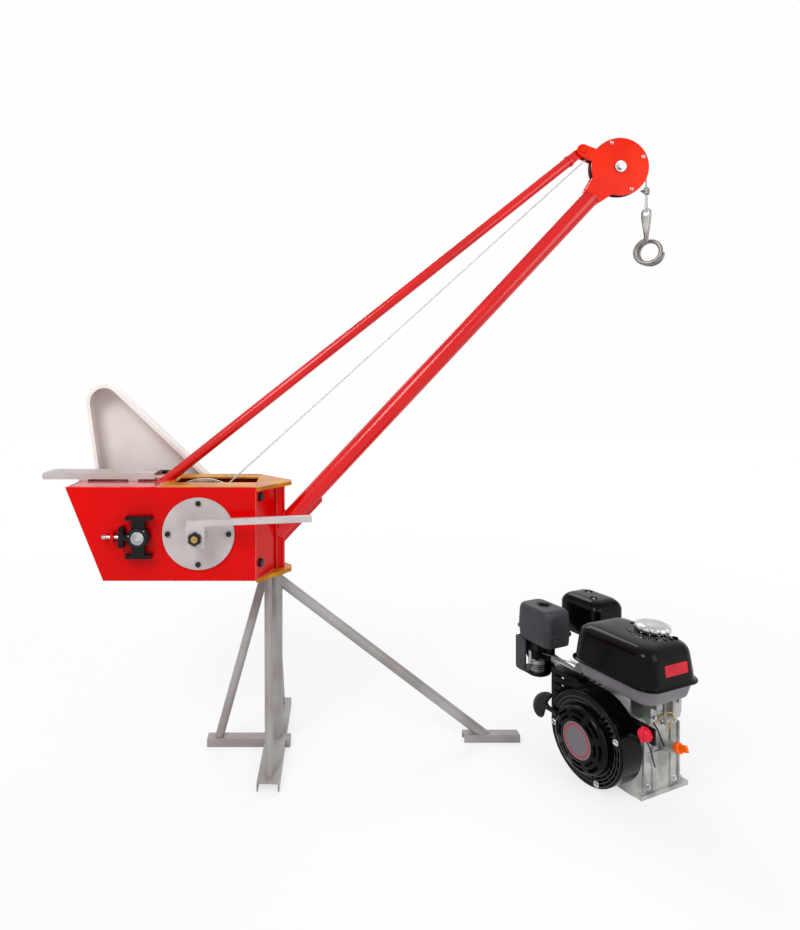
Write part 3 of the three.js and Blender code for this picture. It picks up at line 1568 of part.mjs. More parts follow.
// A pressed guard, open below, over the muffler's can.
function mufflerGuard() {
  const x0 = -mufflerLeft;
  const x1 = -mufflerRight;
  const y0 = mufflerFront;
  const y1 = mufflerRear;
  const w = mufflerWall;
  const guard = mouldedBox(x0, x1, y0, y1, mufflerBottom, mufflerTop, mufflerCorner, mufflerCrown);
  const inside = mouldedBox(
    x0 + w,
    x1 - w,
    y0 + w,
    y1 - w,
    mufflerBottom - overrun,
    mufflerTop - w,
    mufflerCorner - w,
    mufflerCrown - w / 2,
  );
  const can = block(
    x0 + mufflerCanInset,
    x1 - mufflerCanInset,
    y0 + mufflerCanInset,
    y1 - mufflerCanInset,
    mufflerBottom,
    mufflerTop - w / 2,
  );
  return join(cut(guard, inside), cut(can, mufflerCanHollow(x0, x1, y0, y1)));
}

function mufflerCanHollow(x0, x1, y0, y1) {
  const inset = mufflerCanInset + 2 * mufflerWall;
  const z0 = mufflerBottom + 2 * mufflerWall;
  const hollow = block(x0 + inset, x1 - inset, y0 + inset, y1 - inset, z0, mufflerTop - 2 * mufflerWall);
  const outlet = block(x0 - overrun, x0 + inset + overrun, y1 - 2 * inset, y1 - inset, z0, z0 + inset / 2);
  return join(hollow, outlet);
}

function carburettor() {
  const body = block(-carbLeft, -carbRight, -carbFront, -carbRear, carbBottom, filterBottom - gap);
  const x = -(carbLeft + carbRight) / 2;
  const y = -(carbFront + carbRear) / 2;
  const bowl = bar(at(x, y, carbBowlBottom), at(x, y, carbBottom + overrun), carbBowlRadius, pipeSides);
  const pinEnd = -carbFront + chokePinDepth - overrun + gap;
  return cut(join(body, bowl), hole(-chokeX, chokeZ, -carbFront, pinEnd, chokePinRadius + turningGap, rodSides));
}

function chokeLever() {
  const y1 = -carbFront - gap;
  const y0 = y1 - chokeThickness;
  const arm = block(-chokeX - chokeHalf, -chokeX + chokeHalf, y0, y1, chokeZ - chokeLength, chokeZ + chokeHalf);
  return join(arm, rod(-chokeX, chokeZ, y0, -carbFront + chokePinDepth, chokePinRadius, rodSides));
}

function engineSwitch() {
  const seat = -switchY - gap;
  const face = seat - switchHeight;
  const rib = block(
    switchX - switchRib,
    switchX + switchRib,
    face - switchRib,
    seat - switchRib,
    switchZ - switchRadius,
    switchZ + switchRadius,
  );
  return join(rod(switchX, switchZ, face, seat, switchRadius, pipeSides), rib);
}

function dipstick() {
  const cap = bar(dipstickSeat(0), dipstickSeat(dipstickLength / 3), dipstickRadius, smallSides);
  return join(cap, bar(dipstickSeat(gap), dipstickSeat(dipstickLength), dipstickGrip, 6));
}

function addEngine() {
  const crankshaft = rod(0, crankZ, bossRear - crankSeat + gap, crankRear, crankRadius, smallSides);
  engine.add(
    mesh("engine_block", engineBlock(), "alloy"),
    mesh("fan_shroud", fanShroud(), "blackGloss"),
    mesh("recoil_cover", recoilCover(), "blackGloss"),
    mesh("starter_grip", starterGrip(), "blackPlastic"),
    mesh("fuel_tank", fuelTank(), "blackGloss"),
    mesh("tank_cap", tankCap(), "chrome"),
    mesh("air_filter", airFilter(), "blackPlastic"),
    mesh("carburettor", carburettor(), "blackIron"),
    mesh("choke_lever", chokeLever(), "zinc"),
    mesh("muffler_guard", mufflerGuard(), "blackGloss"),
    mesh("engine_switch", engineSwitch(), "redPlastic"),
    mesh("dipstick", dipstick(), "orangePlastic"),
    mesh("crankshaft", crankshaft, "zinc"),
  );
}
addEngine();

export default crane;
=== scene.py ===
# %% [markdown]
# # Petrol jib crane
# The looks of a small builder's hoist: a slewing jib with a winch box on a
# post, and the petrol engine that stands beside it. The shapes come from the
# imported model, and this script dresses them, lays the ropes and lights the
# scene. Lengths are in metres, and Z is up.

import json
import math

import bmesh
import bpy
from mathutils import Matrix, Vector

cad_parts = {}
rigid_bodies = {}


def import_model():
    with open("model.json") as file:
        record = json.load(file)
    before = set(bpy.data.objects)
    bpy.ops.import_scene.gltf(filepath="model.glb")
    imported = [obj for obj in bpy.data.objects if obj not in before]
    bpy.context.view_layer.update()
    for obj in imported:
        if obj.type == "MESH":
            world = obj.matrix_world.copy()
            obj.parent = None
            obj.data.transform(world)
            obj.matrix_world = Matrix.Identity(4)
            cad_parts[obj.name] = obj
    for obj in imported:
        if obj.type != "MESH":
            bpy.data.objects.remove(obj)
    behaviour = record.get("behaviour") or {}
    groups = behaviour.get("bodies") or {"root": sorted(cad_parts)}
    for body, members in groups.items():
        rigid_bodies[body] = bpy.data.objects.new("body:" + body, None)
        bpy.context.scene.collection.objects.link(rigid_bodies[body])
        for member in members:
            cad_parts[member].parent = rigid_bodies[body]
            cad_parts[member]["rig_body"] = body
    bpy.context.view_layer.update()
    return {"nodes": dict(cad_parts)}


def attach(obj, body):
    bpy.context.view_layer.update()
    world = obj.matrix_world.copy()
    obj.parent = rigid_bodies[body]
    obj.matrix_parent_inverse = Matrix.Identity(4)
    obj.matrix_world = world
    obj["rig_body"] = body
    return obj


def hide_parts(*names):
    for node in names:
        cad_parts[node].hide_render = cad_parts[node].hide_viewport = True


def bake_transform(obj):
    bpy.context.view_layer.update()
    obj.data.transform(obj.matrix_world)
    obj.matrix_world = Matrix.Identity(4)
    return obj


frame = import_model()
nodes = frame["nodes"]

# %% [markdown]
# ## The camera
# The crane is seen level, from in front of it. Turning the camera up to frame a
# tall object would make its uprights lean together, so it stays level and the
# lens is shifted instead, as on a camera with a rising front.

# %% Camera
camera_data = bpy.data.cameras.new("camera")
camera_data.lens = 25.55
camera_data.sensor_width = 36
camera_data.shift_x = 0.1022
camera_data.shift_y = -0.0914
camera_data.clip_end = 60
camera = bpy.data.objects.new("camera", camera_data)
camera.location = (0.093, -2.120, 1.166)
camera.rotation_euler = (math.radians(90), 0, 0)
bpy.context.scene.collection.objects.link(camera)
bpy.context.scene.camera = camera
bpy.context.scene.view_settings.view_transform = "Standard"
print("camera at", tuple(camera.location))

# %% [markdown]
# ## Pieces
# Each separate part of the crane becomes one object. It could be modelled about
# its own middle and then moved. Here its points hold its place and the object
# stays at the origin, so a pattern lies still on it when a joint moves it. Flat
# shading would show the facets of round parts, so all faces are smooth, and only
# edges past an angle stay sharp.


# %% New object from a bmesh
def add_piece(name, form, finish, smooth=40.0):
    data = bpy.data.meshes.new(name)
    form.to_mesh(data)
    form.free()
    for spare in ("custom_normal", "sharp_face"):
        if spare in data.attributes:
            data.attributes.remove(data.attributes[spare])
    for face in data.polygons:
        face.use_smooth = True
    data.set_sharp_from_angle(angle=math.radians(smooth))
    data.materials.clear()
    data.materials.append(finish)
    piece = bpy.data.objects.new(name, data)
    bpy.context.scene.collection.objects.link(piece)
    return piece


def belongs(piece, body, slot, *stands_for):
    """Says what carries the piece and the solids it stands for; its material slot is not used."""
    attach(piece, body)
    if stands_for:
        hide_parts(*stands_for)
    print(piece.name, "has", len(piece.data.polygons), "faces and rides on", body)
    return piece


# %% [markdown]
# ## How a finish is built
# Paint on steel is never one even colour. It drifts a little from place to place,
# is glossier here and duller there, and has a fine grain. An image could hold all
# that, but it is tied to one size and one unwrapping, and noise read at object
# coordinates needs neither. The small helpers come first: a colour as it is seen,
# a node with its numbers set, and the noise itself.


# %% Colours and nodes
def srgb(rgb):
    share = [c / 255 for c in rgb]
    linear = [c / 12.92 if c <= 0.04045 else ((c + 0.055) / 1.055) ** 2.4 for c in share]
    return (*linear, 1.0)


def wire(tree, start, end):
    tree.links.new(start, end)


def add_node(tree, kind, **values):
    node = tree.nodes.new("ShaderNode" + kind)
    for label, value in values.items():
        node.inputs[label.replace("_", " ")].default_value = value
    return node


def noise(tree, place, scale, detail):
    node = add_node(tree, "TexNoise", Scale=scale, Detail=detail)
    wire(tree, place, node.inputs["Vector"])
    return node.outputs["Fac"]


def calculate(tree, operation, first, second):
    node = add_node(tree, "Math")
    node.operation = operation
    wire(tree, first, node.inputs[0])
    wire(tree, second, node.inputs[1])
    return node.outputs["Value"]


# %% [markdown]
# Where a plate is knocked, its paint goes along the edges first. Painting that
# by hand on every edge would take days. The rounded edges of a piece carry a mark
# called edge instead, and patches of noise decide where the mark lets a second
# colour through.


# %% Worn edges
def worn_colour(tree, place, colour, bare, patches):
    edge = add_node(tree, "Attribute")
    edge.attribute_name = "edge"
    limit = add_node(tree, "MapRange", From_Min=0.56, From_Max=0.68)
    wire(tree, noise(tree, place, patches, 6), limit.inputs["Value"])
    mixer = add_node(tree, "Mix")
    mixer.data_type = "RGBA"
    mixer.inputs["B"].default_value = srgb(bare)
    wire(tree, calculate(tree, "MULTIPLY", edge.outputs["Fac"], limit.outputs["Result"]), mixer.inputs["Factor"])
    wire(tree, colour, mixer.inputs["A"])
    return mixer.outputs["Result"]


# %% [markdown]
# One function makes every finish, because paint, zinc and rubber differ only in
# their numbers: a light and a dark colour, how rough, how metallic, how much clear
# coat, and how large the drift and the grain are. A number that is the same all
# over sits on the shader's own socket.

# %% A procedural finish
finishes = {}
COAT_ROUGHNESS = 0.12


def make_finish(name, light, dark, rough, metal=0.0, coat=0.0, drift=9.0, gloss=0.5,
                grain=140.0, depth=0.0002, grain_strength=0.05, wear=None):
    material = bpy.data.materials.new(name)
    material.use_nodes = True
    tree = material.node_tree
    shader = tree.nodes["Principled BSDF"]
    for label, value in (("Metallic", metal), ("Specular IOR Level", gloss), ("Coat Weight", coat),
                         ("Coat Roughness", COAT_ROUGHNESS)):
        shader.inputs[label].default_value = value
    place = add_node(tree, "TexCoord").outputs["Object"]
    cloud = noise(tree, place, drift, 2)
    ramp = add_node(tree, "ValToRGB")
    ramp.color_ramp.interpolation = "EASE"
    for i, (position, shade) in enumerate(((0.3, dark), (0.7, light))):
        ramp.color_ramp.elements[i].position = position
        ramp.color_ramp.elements[i].color = srgb(shade)
    wire(tree, cloud, ramp.inputs["Fac"])
    colour = ramp.outputs["Color"]
    if wear:
        colour = worn_colour(tree, place, colour, *wear)
    wire(tree, colour, shader.inputs["Base Color"])
    polish = add_node(tree, "MapRange", From_Min=0.3, From_Max=0.7, To_Min=rough[0], To_Max=rough[1])
    wire(tree, cloud, polish.inputs["Value"])
    wire(tree, polish.outputs["Result"], shader.inputs["Roughness"])
    bump = add_node(tree, "Bump", Strength=grain_strength, Distance=depth)
    wire(tree, noise(tree, place, grain, 3), bump.inputs["Height"])
    wire(tree, bump.outputs["Normal"], shader.inputs["Normal"])
    finishes[name] = material


# %% [markdown]
# ## The finishes
# The jib and the winch box are sprayed glossy red with an ochre top, and the
# stand, the drum's cover and the belt guard are grey. On the top plate the red
# half is a pale pink red instead: painted glare, the light that falls along the
# top put into its colour. A single red would look like plastic on all of them, so
# the tubes, the plates and the head each have their own gloss. Colours are written
# from 0 to 255, as a paint chart gives them, and wear is the colour under the
# paint and the size of its patches.

# %% Paints
make_finish("stand_grey", (164, 160, 159), (140, 132, 130), (0.3, 0.44), drift=6, gloss=0.35, grain=60,
            wear=((96, 84, 78), 40))
make_finish("red_paint", (212, 0, 0), (196, 0, 2), (0.14, 0.22), coat=0.03, drift=3, gloss=0.1,
            wear=((236, 70, 50), 60))
make_finish("tube_red", (210, 0, 0), (194, 0, 2), (0.2, 0.3), coat=0.6, drift=3, gloss=0.1,
            wear=((236, 70, 50), 60))
# The top plate's pale pink red is painted glare, a lit copy of the red paint.
make_finish("top_red_painted_glare", (232, 112, 104), (224, 84, 78), (0.14, 0.22), coat=1.0, drift=3)
make_finish("head_paint", (232, 44, 8), (220, 28, 2), (0.2, 0.32), coat=0.04, drift=7, gloss=0.1,
            wear=((180, 30, 14), 60))
make_finish("ochre_paint", (206, 140, 8), (176, 100, 6), (0.3, 0.5), coat=0.05, drift=14, gloss=0.2,
            wear=((120, 60, 20), 50))
make_finish("cover_grey", (192, 184, 183), (176, 167, 166), (0.34, 0.48), drift=8, gloss=0.3,
            wear=((110, 100, 98), 50))
make_finish("guard_grey", (234, 228, 224), (222, 214, 210), (0.4, 0.55), drift=5, gloss=0.3,
            wear=((150, 140, 136), 50))
make_finish("weld_red", (226, 20, 16), (206, 4, 4), (0.16, 0.24), coat=0.35, drift=60)
print(len(finishes), "paints")

# %% [markdown]
# Bare metal shows at the rope, the hook, the shaft ends and the bolts, and as
# the engine's casting. What tells one metal from another is less its colour than
# how it scatters light, so each has its own roughness, and the cast and forged
# ones have a deeper grain than zinc plate.

# %% Metals
make_finish("bronze", (196, 160, 98), (160, 122, 70), (0.28, 0.42), metal=1.0, drift=30)
make_finish("zinc", (206, 206, 208), (170, 170, 174), (0.22, 0.36), metal=1.0, drift=40)
make_finish("steel", (150, 146, 143), (112, 108, 105), (0.3, 0.46), metal=1.0, drift=30,
            grain=500, depth=0.0002, grain_strength=0.2)
make_finish("black_iron", (20, 20, 21), (8, 8, 9), (0.3, 0.5), drift=25, gloss=0.18,
            grain=420, depth=0.0006, grain_strength=0.4)
make_finish("black_bolt", (34, 33, 34), (16, 16, 17), (0.24, 0.36), metal=0.4, drift=60)
make_finish("wire_rope", (214, 216, 216), (178, 182, 182), (0.34, 0.46), metal=0.35, drift=220)
make_finish("alloy", (186, 186, 183), (142, 142, 139), (0.34, 0.5), metal=0.6, drift=18,
            grain=600, depth=0.0005, grain_strength=0.35)
make_finish("cap_chrome", (206, 206, 209), (180, 180, 184), (0.12, 0.2), metal=1.0, drift=30)
print(len(finishes), "finishes with the metals")

# %% [markdown]
# The engine is mostly black: an enamelled tank and guard, moulded covers, and
# rubber. With one black they would melt into one shape. They differ in gloss and
# in how light the black is, and a few small parts are red and orange, the ones
# that a hand has to find.

# %% Engine plastics and enamels
make_finish("black_gloss", (8, 8, 8), (4, 4, 4), (0.16, 0.26), coat=0.03, drift=12, gloss=0.1,
            wear=((40, 40, 42), 60))
make_finish("black_enamel", (6, 6, 6), (3, 3, 3), (0.12, 0.2), coat=0.04, drift=8, gloss=0.1)
make_finish("black_plastic", (60, 58, 63), (46, 44, 49), (0.42, 0.55), drift=14, gloss=0.3,
            grain=900, depth=0.0002, grain_strength=0.25)
make_finish("red_plastic", (226, 24, 60), (206, 12, 42), (0.25, 0.35), drift=30, gloss=0.3)
make_finish("ring_red", (204, 16, 44), (184, 8, 34), (0.25, 0.35), drift=30, gloss=0.25)
make_finish("orange_plastic", (255, 116, 6), (240, 92, 2), (0.25, 0.38), drift=30, gloss=0.25)
make_finish("tank_grey", (116, 112, 118), (102, 98, 104), (0.3, 0.42), drift=9, gloss=0.25)
make_finish("black_rib", (14, 14, 15), (6, 6, 7), (0.08, 0.16), coat=0.3, drift=30)
make_finish("rubber", (20, 20, 21), (11, 11, 12), (0.4, 0.55), drift=30, gloss=0.25)
make_finish("wire_green", (30, 150, 60), (16, 120, 40), (0.3, 0.4), drift=60)
make_finish("wire_yellow", (236, 196, 30), (214, 170, 14), (0.3, 0.4), drift=60)
print(len(finishes), "finishes in all")

# %% [markdown]
# ## Ropes
# What runs along a path, such as a rope or a row of weld drops, needs points at
# even steps on it. A curve object with a bevel could carry the rope, but not its
# twist, so the path is measured here and the mesh is made ring by ring.


# %% Even steps along a path
def spread(path, step):
    points = [Vector(p) for p in path]
    marks = [0.0]
    for a, b in zip(points, points[1:]):
        marks.append(marks[-1] + (b - a).length)
    count = max(2, round(marks[-1] / step))
    result, at = [], 0
    for i in range(count + 1):
        along = marks[-1] * i / count
        while at + 2 < len(marks) and marks[at + 1] < along:
            at += 1
        part = (along - marks[at]) / max(marks[at + 1] - marks[at], 1e-9)
        result.append(points[at].lerp(points[at + 1], min(max(part, 0.0), 1.0)))
    return result, marks[-1]


# %% [markdown]
# A wire rope is six strands laid round each other. Six separate twisted tubes
# would hide most of their faces inside. The outline of six touching round wires,
# turned a little from ring to ring, shows the same grooves with far fewer faces.
# The lay is the length in which a strand goes once round.

# %% Twisted rope
ROPE_RADIUS = 0.0025
ROPE_LAY = 0.032
STRANDS = 6


def rope(name, path, step=0.0026, sides=30):
    points, length = spread(path, step)
    form = bmesh.new()
    rings = []
    across = None
    for i, point in enumerate(points):
        ahead = points[min(i + 1, len(points) - 1)] - points[max(i - 1, 0)]
        ahead.normalize()
        if across is None:
            across = ahead.cross(Vector((0, 1, 0))) if abs(ahead.y) < 0.9 else ahead.cross(Vector((1, 0, 0)))
        across = (across - ahead * across.dot(ahead)).normalized()
        up = ahead.cross(across)
        twist = 2 * math.pi * (length * i / (len(points) - 1)) / ROPE_LAY
        ring = []
        for k in range(sides):
            angle = 2 * math.pi * k / sides
            lobe = (angle + math.pi / STRANDS) % (2 * math.pi / STRANDS) - math.pi / STRANDS
            out = (2 * math.cos(lobe) + math.sqrt(max(1 - 4 * math.sin(lobe) ** 2, 0))) / 3
            turn = angle + twist
            spoke = across * math.cos(turn) + up * math.sin(turn)
            ring.append(form.verts.new(point + spoke * ROPE_RADIUS * out))
        rings.append(ring)
    for low, high in zip(rings, rings[1:]):
        for k in range(sides):
            form.faces.new((low[k], low[(k + 1) % sides], high[(k + 1) % sides], high[k]))
    form.faces.new(list(reversed(rings[0])))
    form.faces.new(rings[-1])
    return add_piece(name, form, finishes["wire_rope"], 75), length


# %% [markdown]
# The load's rope leaves the winding on the drum, runs up beside the boom to the
# sheave in the jib's head and bends over it. The straight part touches both
# circles, so its angle follows from their radii. It starts a little past the
# winding, which can then turn without cutting into it, and it ends just below the
# sheave's middle.

# %% Rope from the drum over the sheave
DRUM = Vector((-0.226, 0, 0.706))
HEAD_X, HEAD_Z = 1.099, 1.847
HEAD = Vector((HEAD_X, 0, HEAD_Z))
WIND_RADIUS = 0.045
SHEAVE_RADIUS = 0.090
PAST_WINDING = 0.0269
BELOW_SHEAVE = 0.015
RUN_STEPS = 40
BEND_STEPS = 28


def around(middle, radius, angle):
    """A point beside a shaft that lies across the crane."""
    return middle + Vector((math.cos(angle), 0, math.sin(angle))) * radius


span = HEAD - DRUM
touch = math.atan2(span.z, span.x) + math.pi / 2 + math.asin((SHEAVE_RADIUS - WIND_RADIUS) / span.length)
along = Vector((math.sin(touch), 0, -math.cos(touch)))
leave = around(DRUM, WIND_RADIUS, touch) + along * PAST_WINDING
meet = around(HEAD, SHEAVE_RADIUS, touch)
run_path = [leave.lerp(meet, i / RUN_STEPS) for i in range(RUN_STEPS)]
run_path += [around(HEAD, SHEAVE_RADIUS, touch * (1 - i / BEND_STEPS)) for i in range(BEND_STEPS + 1)]
ROPE_X = HEAD.x + SHEAVE_RADIUS
run_path.append(Vector((ROPE_X, 0, HEAD.z - BELOW_SHEAVE)))
rope_run, run_length = rope("rope_to_head", run_path)
belongs(rope_run, "jib", "wire_rope", "rope_run")
print("rope from drum to head", round(run_length, 3), "m")

# %% [markdown]
# Below the sheave the rope hangs to the clip. Its top stays with the jib and
# its end goes down with the hook, so it belongs to two bodies. On either of them
# it would leave a gap or stick out, so it is made where it hangs at rest and is
# joined to neither.

# %% Rope that hangs
FALL_START = 0.0153
FALL_LENGTH = 0.0484
FALL_STEPS = 12
fall_path = [Vector((ROPE_X, 0, HEAD.z - FALL_START - FALL_LENGTH * i / FALL_STEPS))
             for i in range(FALL_STEPS + 1)]
rope_fall, fall_length = rope("rope_hanging", fall_path, step=0.0012)
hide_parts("rope_fall")
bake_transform(rope_fall)
print("hanging rope", round(fall_length, 4), "m")

# %% [markdown]
# One layer of rope lies on the drum, with 2 mm between its turns. A stack of
# rings would be simpler, but each would close on itself. A helix with its two
# ends drawn out a little lies as real rope does.

# %% Rope on the drum
WINDINGS = 10
WIND_STEPS = 48
WIND_PITCH = 0.007
WIND_END = 0.005
wind_path = []
for i in range(WINDINGS * WIND_STEPS + 1):
    turn = 2 * math.pi * i / WIND_STEPS
    wind_path.append(DRUM + Vector((WIND_RADIUS * math.cos(touch + turn), WIND_PITCH * i / WIND_STEPS,
                                    WIND_RADIUS * math.sin(touch + turn))))
wind_path.insert(0, wind_path[0] + (wind_path[0] - wind_path[1]).normalized() * WIND_END)
wind_path.append(wind_path[-1] + (wind_path[-1] - wind_path[-2]).normalized() * WIND_END)
rope_wound, wound_length = rope("rope_wound", wind_path, step=0.004, sides=18)
belongs(rope_wound, "drum", "wire_rope", "rope_on_drum")
print("rope on the drum", round(wound_length, 3), "m")

# %% [markdown]
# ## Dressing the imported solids
# The plates, tubes and channels have the right shape in the model already, but
# with edges like knives, which no real plate has and which catch no light. A
# Bevel modifier could round them. Rounding the points themselves lets the new
# strips carry the mark that the worn finishes read. The model's loose triangles
# are merged first, or every one of their edges would be in the way.

# %% Clean copies and rounded edges
SEAM = 0.00002
FLAT = math.radians(0.6)
SHARP = 38
SMOOTH = 44


def clean_copy(node):
    form = bmesh.new()
    form.from_mesh(nodes[node].data)
    bmesh.ops.remove_doubles(form, verts=form.verts, dist=SEAM)
    bmesh.ops.dissolve_limit(form, angle_limit=FLAT, verts=form.verts, edges=form.edges)
    return form


def sharp_edges(form, degrees):
    return [e for e in form.edges
            if len(e.link_faces) == 2 and e.calc_face_angle(0) > math.radians(degrees)]


def round_edges(form, edges, width, segments=2):
    result = bmesh.ops.bevel(form, geom=edges, offset=width, offset_type="OFFSET", segments=segments,
                             profile=0.5, affect="EDGES", clamp_overlap=True)
    return result["faces"]


def even_normals(piece):
    normals = piece.modifiers.new("even_normals", "WEIGHTED_NORMAL")
    normals.keep_sharp = True
    normals.weight = 90


# %% [markdown]
# Every plain part of the crane goes through one function, which looks up the
# part's own paint and body in the model. The top plate is one piece of steel in
# two colours: ochre paint, and a pale pink red that is painted glare from the
# light falling along the top. Two materials on one mesh would need an edge
# exactly at their border, so its copy is cut there and each half gets its own
# finish.


# %% Cut at a plane, and dress a solid
def keep_side(form, x, side):
    everything = form.verts[:] + form.edges[:] + form.faces[:]
    cut = bmesh.ops.bisect_plane(form, geom=everything, plane_co=(x, 0, 0), plane_no=(side, 0, 0),
                                 clear_outer=True)
    edges = [item for item in cut["geom_cut"] if isinstance(item, bmesh.types.BMEdge)]
    bmesh.ops.edgenet_fill(form, edges=edges)


def dress(node, width, segments=2, finish=None, trim=None):
    form = clean_copy(node)
    mark = form.faces.layers.float.new("edge")
    if width:
        for face in round_edges(form, sharp_edges(form, SHARP), width, segments):
            face[mark] = 1.0
    if trim:
        keep_side(form, *trim)
    own = nodes[node].data.materials[0].name.split(".")[0]
    name = "dressed_" + node + ("_right" if trim and trim[1] < 0 else "")
    piece = add_piece(name, form, finishes[finish or own], SMOOTH)
    even_normals(piece)
    return belongs(piece, nodes[node]["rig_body"], own, node)


# %% [markdown]
# ## The crane
# The stand carries everything: three channels on the ground, a post, three braces
# and a long strut. Rolled channel has rounder edges than sawn tube, so the
# channels get a wider bevel in three steps. A bevel of one width on all of them
# would look cast.

# %% Dress the stand
CHANNEL_EDGE = 0.0018
PLATE_EDGE = 0.0009
TUBE_EDGE = 0.0008
for node in ("base_beam", "cross_beam", "right_foot"):
    dress(node, CHANNEL_EDGE, segments=3)
for node in ("post", "left_brace", "front_brace", "rear_brace", "right_strut"):
    dress(node, TUBE_EDGE)

# %% [markdown]
# The winch box is cut from plate and welded, and the jib's tubes and cheeks are
# fixed to it. They could be modelled again with more detail, but their solids
# have it already. The top plate is dressed twice, once for each side of the
# border between its ochre paint and its painted glare.

# %% Dress the winch box and the jib
TOP_BORDER = -0.35
for node in ("front_plate", "rear_plate", "end_plate", "bottom_plate", "nose_front_plate", "nose_rear_plate",
             "upper_lug", "lower_lug"):
    dress(node, PLATE_EDGE)
# This half is red with painted glare: a pale pink for the light along the top.
dress("top_plate", PLATE_EDGE, finish="top_red_painted_glare", trim=(TOP_BORDER, 1))
dress("top_plate", PLATE_EDGE, finish="ochre_paint", trim=(TOP_BORDER, -1))
for node in ("boom", "tie"):
    dress(node, TUBE_EDGE, finish="tube_red")
for node in ("sleeve", "slew_bush", "head_front_cheek", "head_rear_cheek", "head_axle",
             "engine_bed", "belt_guard"):
    dress(node, TUBE_EDGE)
dress("tie_pin", TUBE_EDGE, finish="head_paint")

# %% [markdown]
# In and beside the box are the winch's turned parts: drum, sprockets, pulley,
# bearings and the screw that tightens the chain. The edges between sprocket teeth
# are short, so only a bevel of 0.3 mm has room there. The rope's loop is round
# already and is only cleaned.

# %% Dress the winch
SHAFT_EDGE = 0.0012
TOOTH_EDGE = 0.0003
for node in ("drum_cover", "drum", "clutch_lever", "input_shaft", "takeup_front", "takeup_rear", "tension_screw",
             "screw_bracket", "sheave", "belt_pulley"):
    dress(node, TUBE_EDGE)
dress("drum_shaft", SHAFT_EDGE, finish="black_bolt")
for node in ("drum_sprocket", "input_sprocket"):
    dress(node, TOOTH_EDGE)
dress("rope_loop", 0)

# %% [markdown]
# ## Tools for built pieces
# Where the model's solid is plainer than the real part, a fuller piece stands for
# it. Most of these are lofts: rings of points, one above another, joined by
# four-sided faces. A box could be cut up and pulled into shape by hand, but
# lofting gives even rows of faces, which shade better. From here on lengths
# inside a form are in millimetres.

# %% Rings and lofts
MM = 0.001


def join_rings(form, low, high):
    if len(low) == 1:
        for k in range(len(high)):
            form.faces.new((low[0], high[(k + 1) % len(high)], high[k]))
    elif len(high) == 1:
        for k in range(len(low)):
            form.faces.new((low[k], low[(k + 1) % len(low)], high[0]))
    else:
        for k in range(len(low)):
            form.faces.new((low[k], low[(k + 1) % len(low)], high[(k + 1) % len(high)], high[k]))


def loft(form, rings, place):
    made = [[form.verts.new(place @ (Vector(p) * MM)) for p in ring] for ring in rings]
    for low, high in zip(made, made[1:]):
        join_rings(form, low, high)
    if len(made[0]) > 2:
        form.faces.new(list(reversed(made[0])))
    if len(made[-1]) > 2:
        form.faces.new(made[-1])
    return form


# %% [markdown]
# Tanks, lids and hoods are rectangles with rounded corners, so their rings are
# too. Knobs, caps and bolts are round, so a profile of radii and heights is
# turned about an axis, as on a lathe. A Screw modifier could turn it as well, but
# not with the wave on the radius that gives a cap its grip.


# %% Rounded rectangles and turned profiles
def round_ring(x, y, half_x, half_y, corner, z, steps=8):
    corner = max(0.5, min(corner, half_x - 0.2, half_y - 0.2))
    ring = []
    for quarter, (sx, sy) in enumerate(((1, 1), (-1, 1), (-1, -1), (1, -1))):
        for i in range(steps + 1):
            angle = math.pi / 2 * (quarter + i / steps)
            ring.append((x + sx * (half_x - corner) + corner * math.cos(angle),
                         y + sy * (half_y - corner) + corner * math.sin(angle), z))
    return ring


def turned(form, profile, place, sides=48, wave=None):
    rings = []
    for radius, height in profile:
        if radius < 1e-6:
            rings.append([(0, 0, height)])
            continue
        ring = []
        for k in range(sides):
            angle = 2 * math.pi * k / sides
            out = radius * (wave(angle, height) if wave else 1)
            ring.append((out * math.cos(angle), out * math.sin(angle), height))
        rings.append(ring)
    return loft(form, rings, place)


# %% [markdown]
# Lugs and brackets are blocks with rounded edges, and bars and wires are a
# circle swept along a path. A curve's bevel would do for the wires, but the
# hook's bar gets thinner at its tip. The circle keeps its turn from step to step,
# or the bar would wring.


# %% Rounded blocks and swept bars
def absorb(form, other):
    data = bpy.data.meshes.new("part")
    other.to_mesh(data)
    other.free()
    form.from_mesh(data)
    bpy.data.meshes.remove(data)


def block(form, low, high, place, rounding=1.0, segments=2):
    part = bmesh.new()
    corners = [(x, y, z) for x in (low[0], high[0]) for y in (low[1], high[1]) for z in (low[2], high[2])]
    points = [part.verts.new(Vector(c) * MM) for c in corners]
    for a, b, c, d in ((0, 1, 3, 2), (4, 6, 7, 5), (0, 4, 5, 1), (2, 3, 7, 6), (0, 2, 6, 4), (1, 5, 7, 3)):
        part.faces.new((points[a], points[b], points[c], points[d]))
    if rounding:
        round_edges(part, part.edges[:], rounding * MM, segments)
    part.transform(place)
    absorb(form, part)
    return form


def swept(form, path, radius, sides=12):
    points = [Vector(p) for p in path]
    rings, across = [], None
    for i, point in enumerate(points):
        ahead = (points[min(i + 1, len(points) - 1)] - points[max(i - 1, 0)]).normalized()
        if across is None:
            side = Vector((0, 1, 0)) if abs(ahead.y) < 0.9 else Vector((1, 0, 0))
            across = ahead.cross(side)
        across = (across - ahead * across.dot(ahead)).normalized()
        up = ahead.cross(across)
        size = radius(i / (len(points) - 1)) if callable(radius) else radius
        rings.append([form.verts.new(point + (across * math.cos(2 * math.pi * k / sides)
                                              + up * math.sin(2 * math.pi * k / sides)) * size)
                      for k in range(sides)])
    for low, high in zip(rings, rings[1:]):
        join_rings(form, low, high)
    form.faces.new(list(reversed(rings[0])))
    form.faces.new(rings[-1])
    return form


# %% [markdown]
# All built pieces end in the same way: their faces are turned outwards, their
# flat faces are evened out against the bevels, and they say what carries them and
# which solid they stand for. One function keeps that from being forgotten.


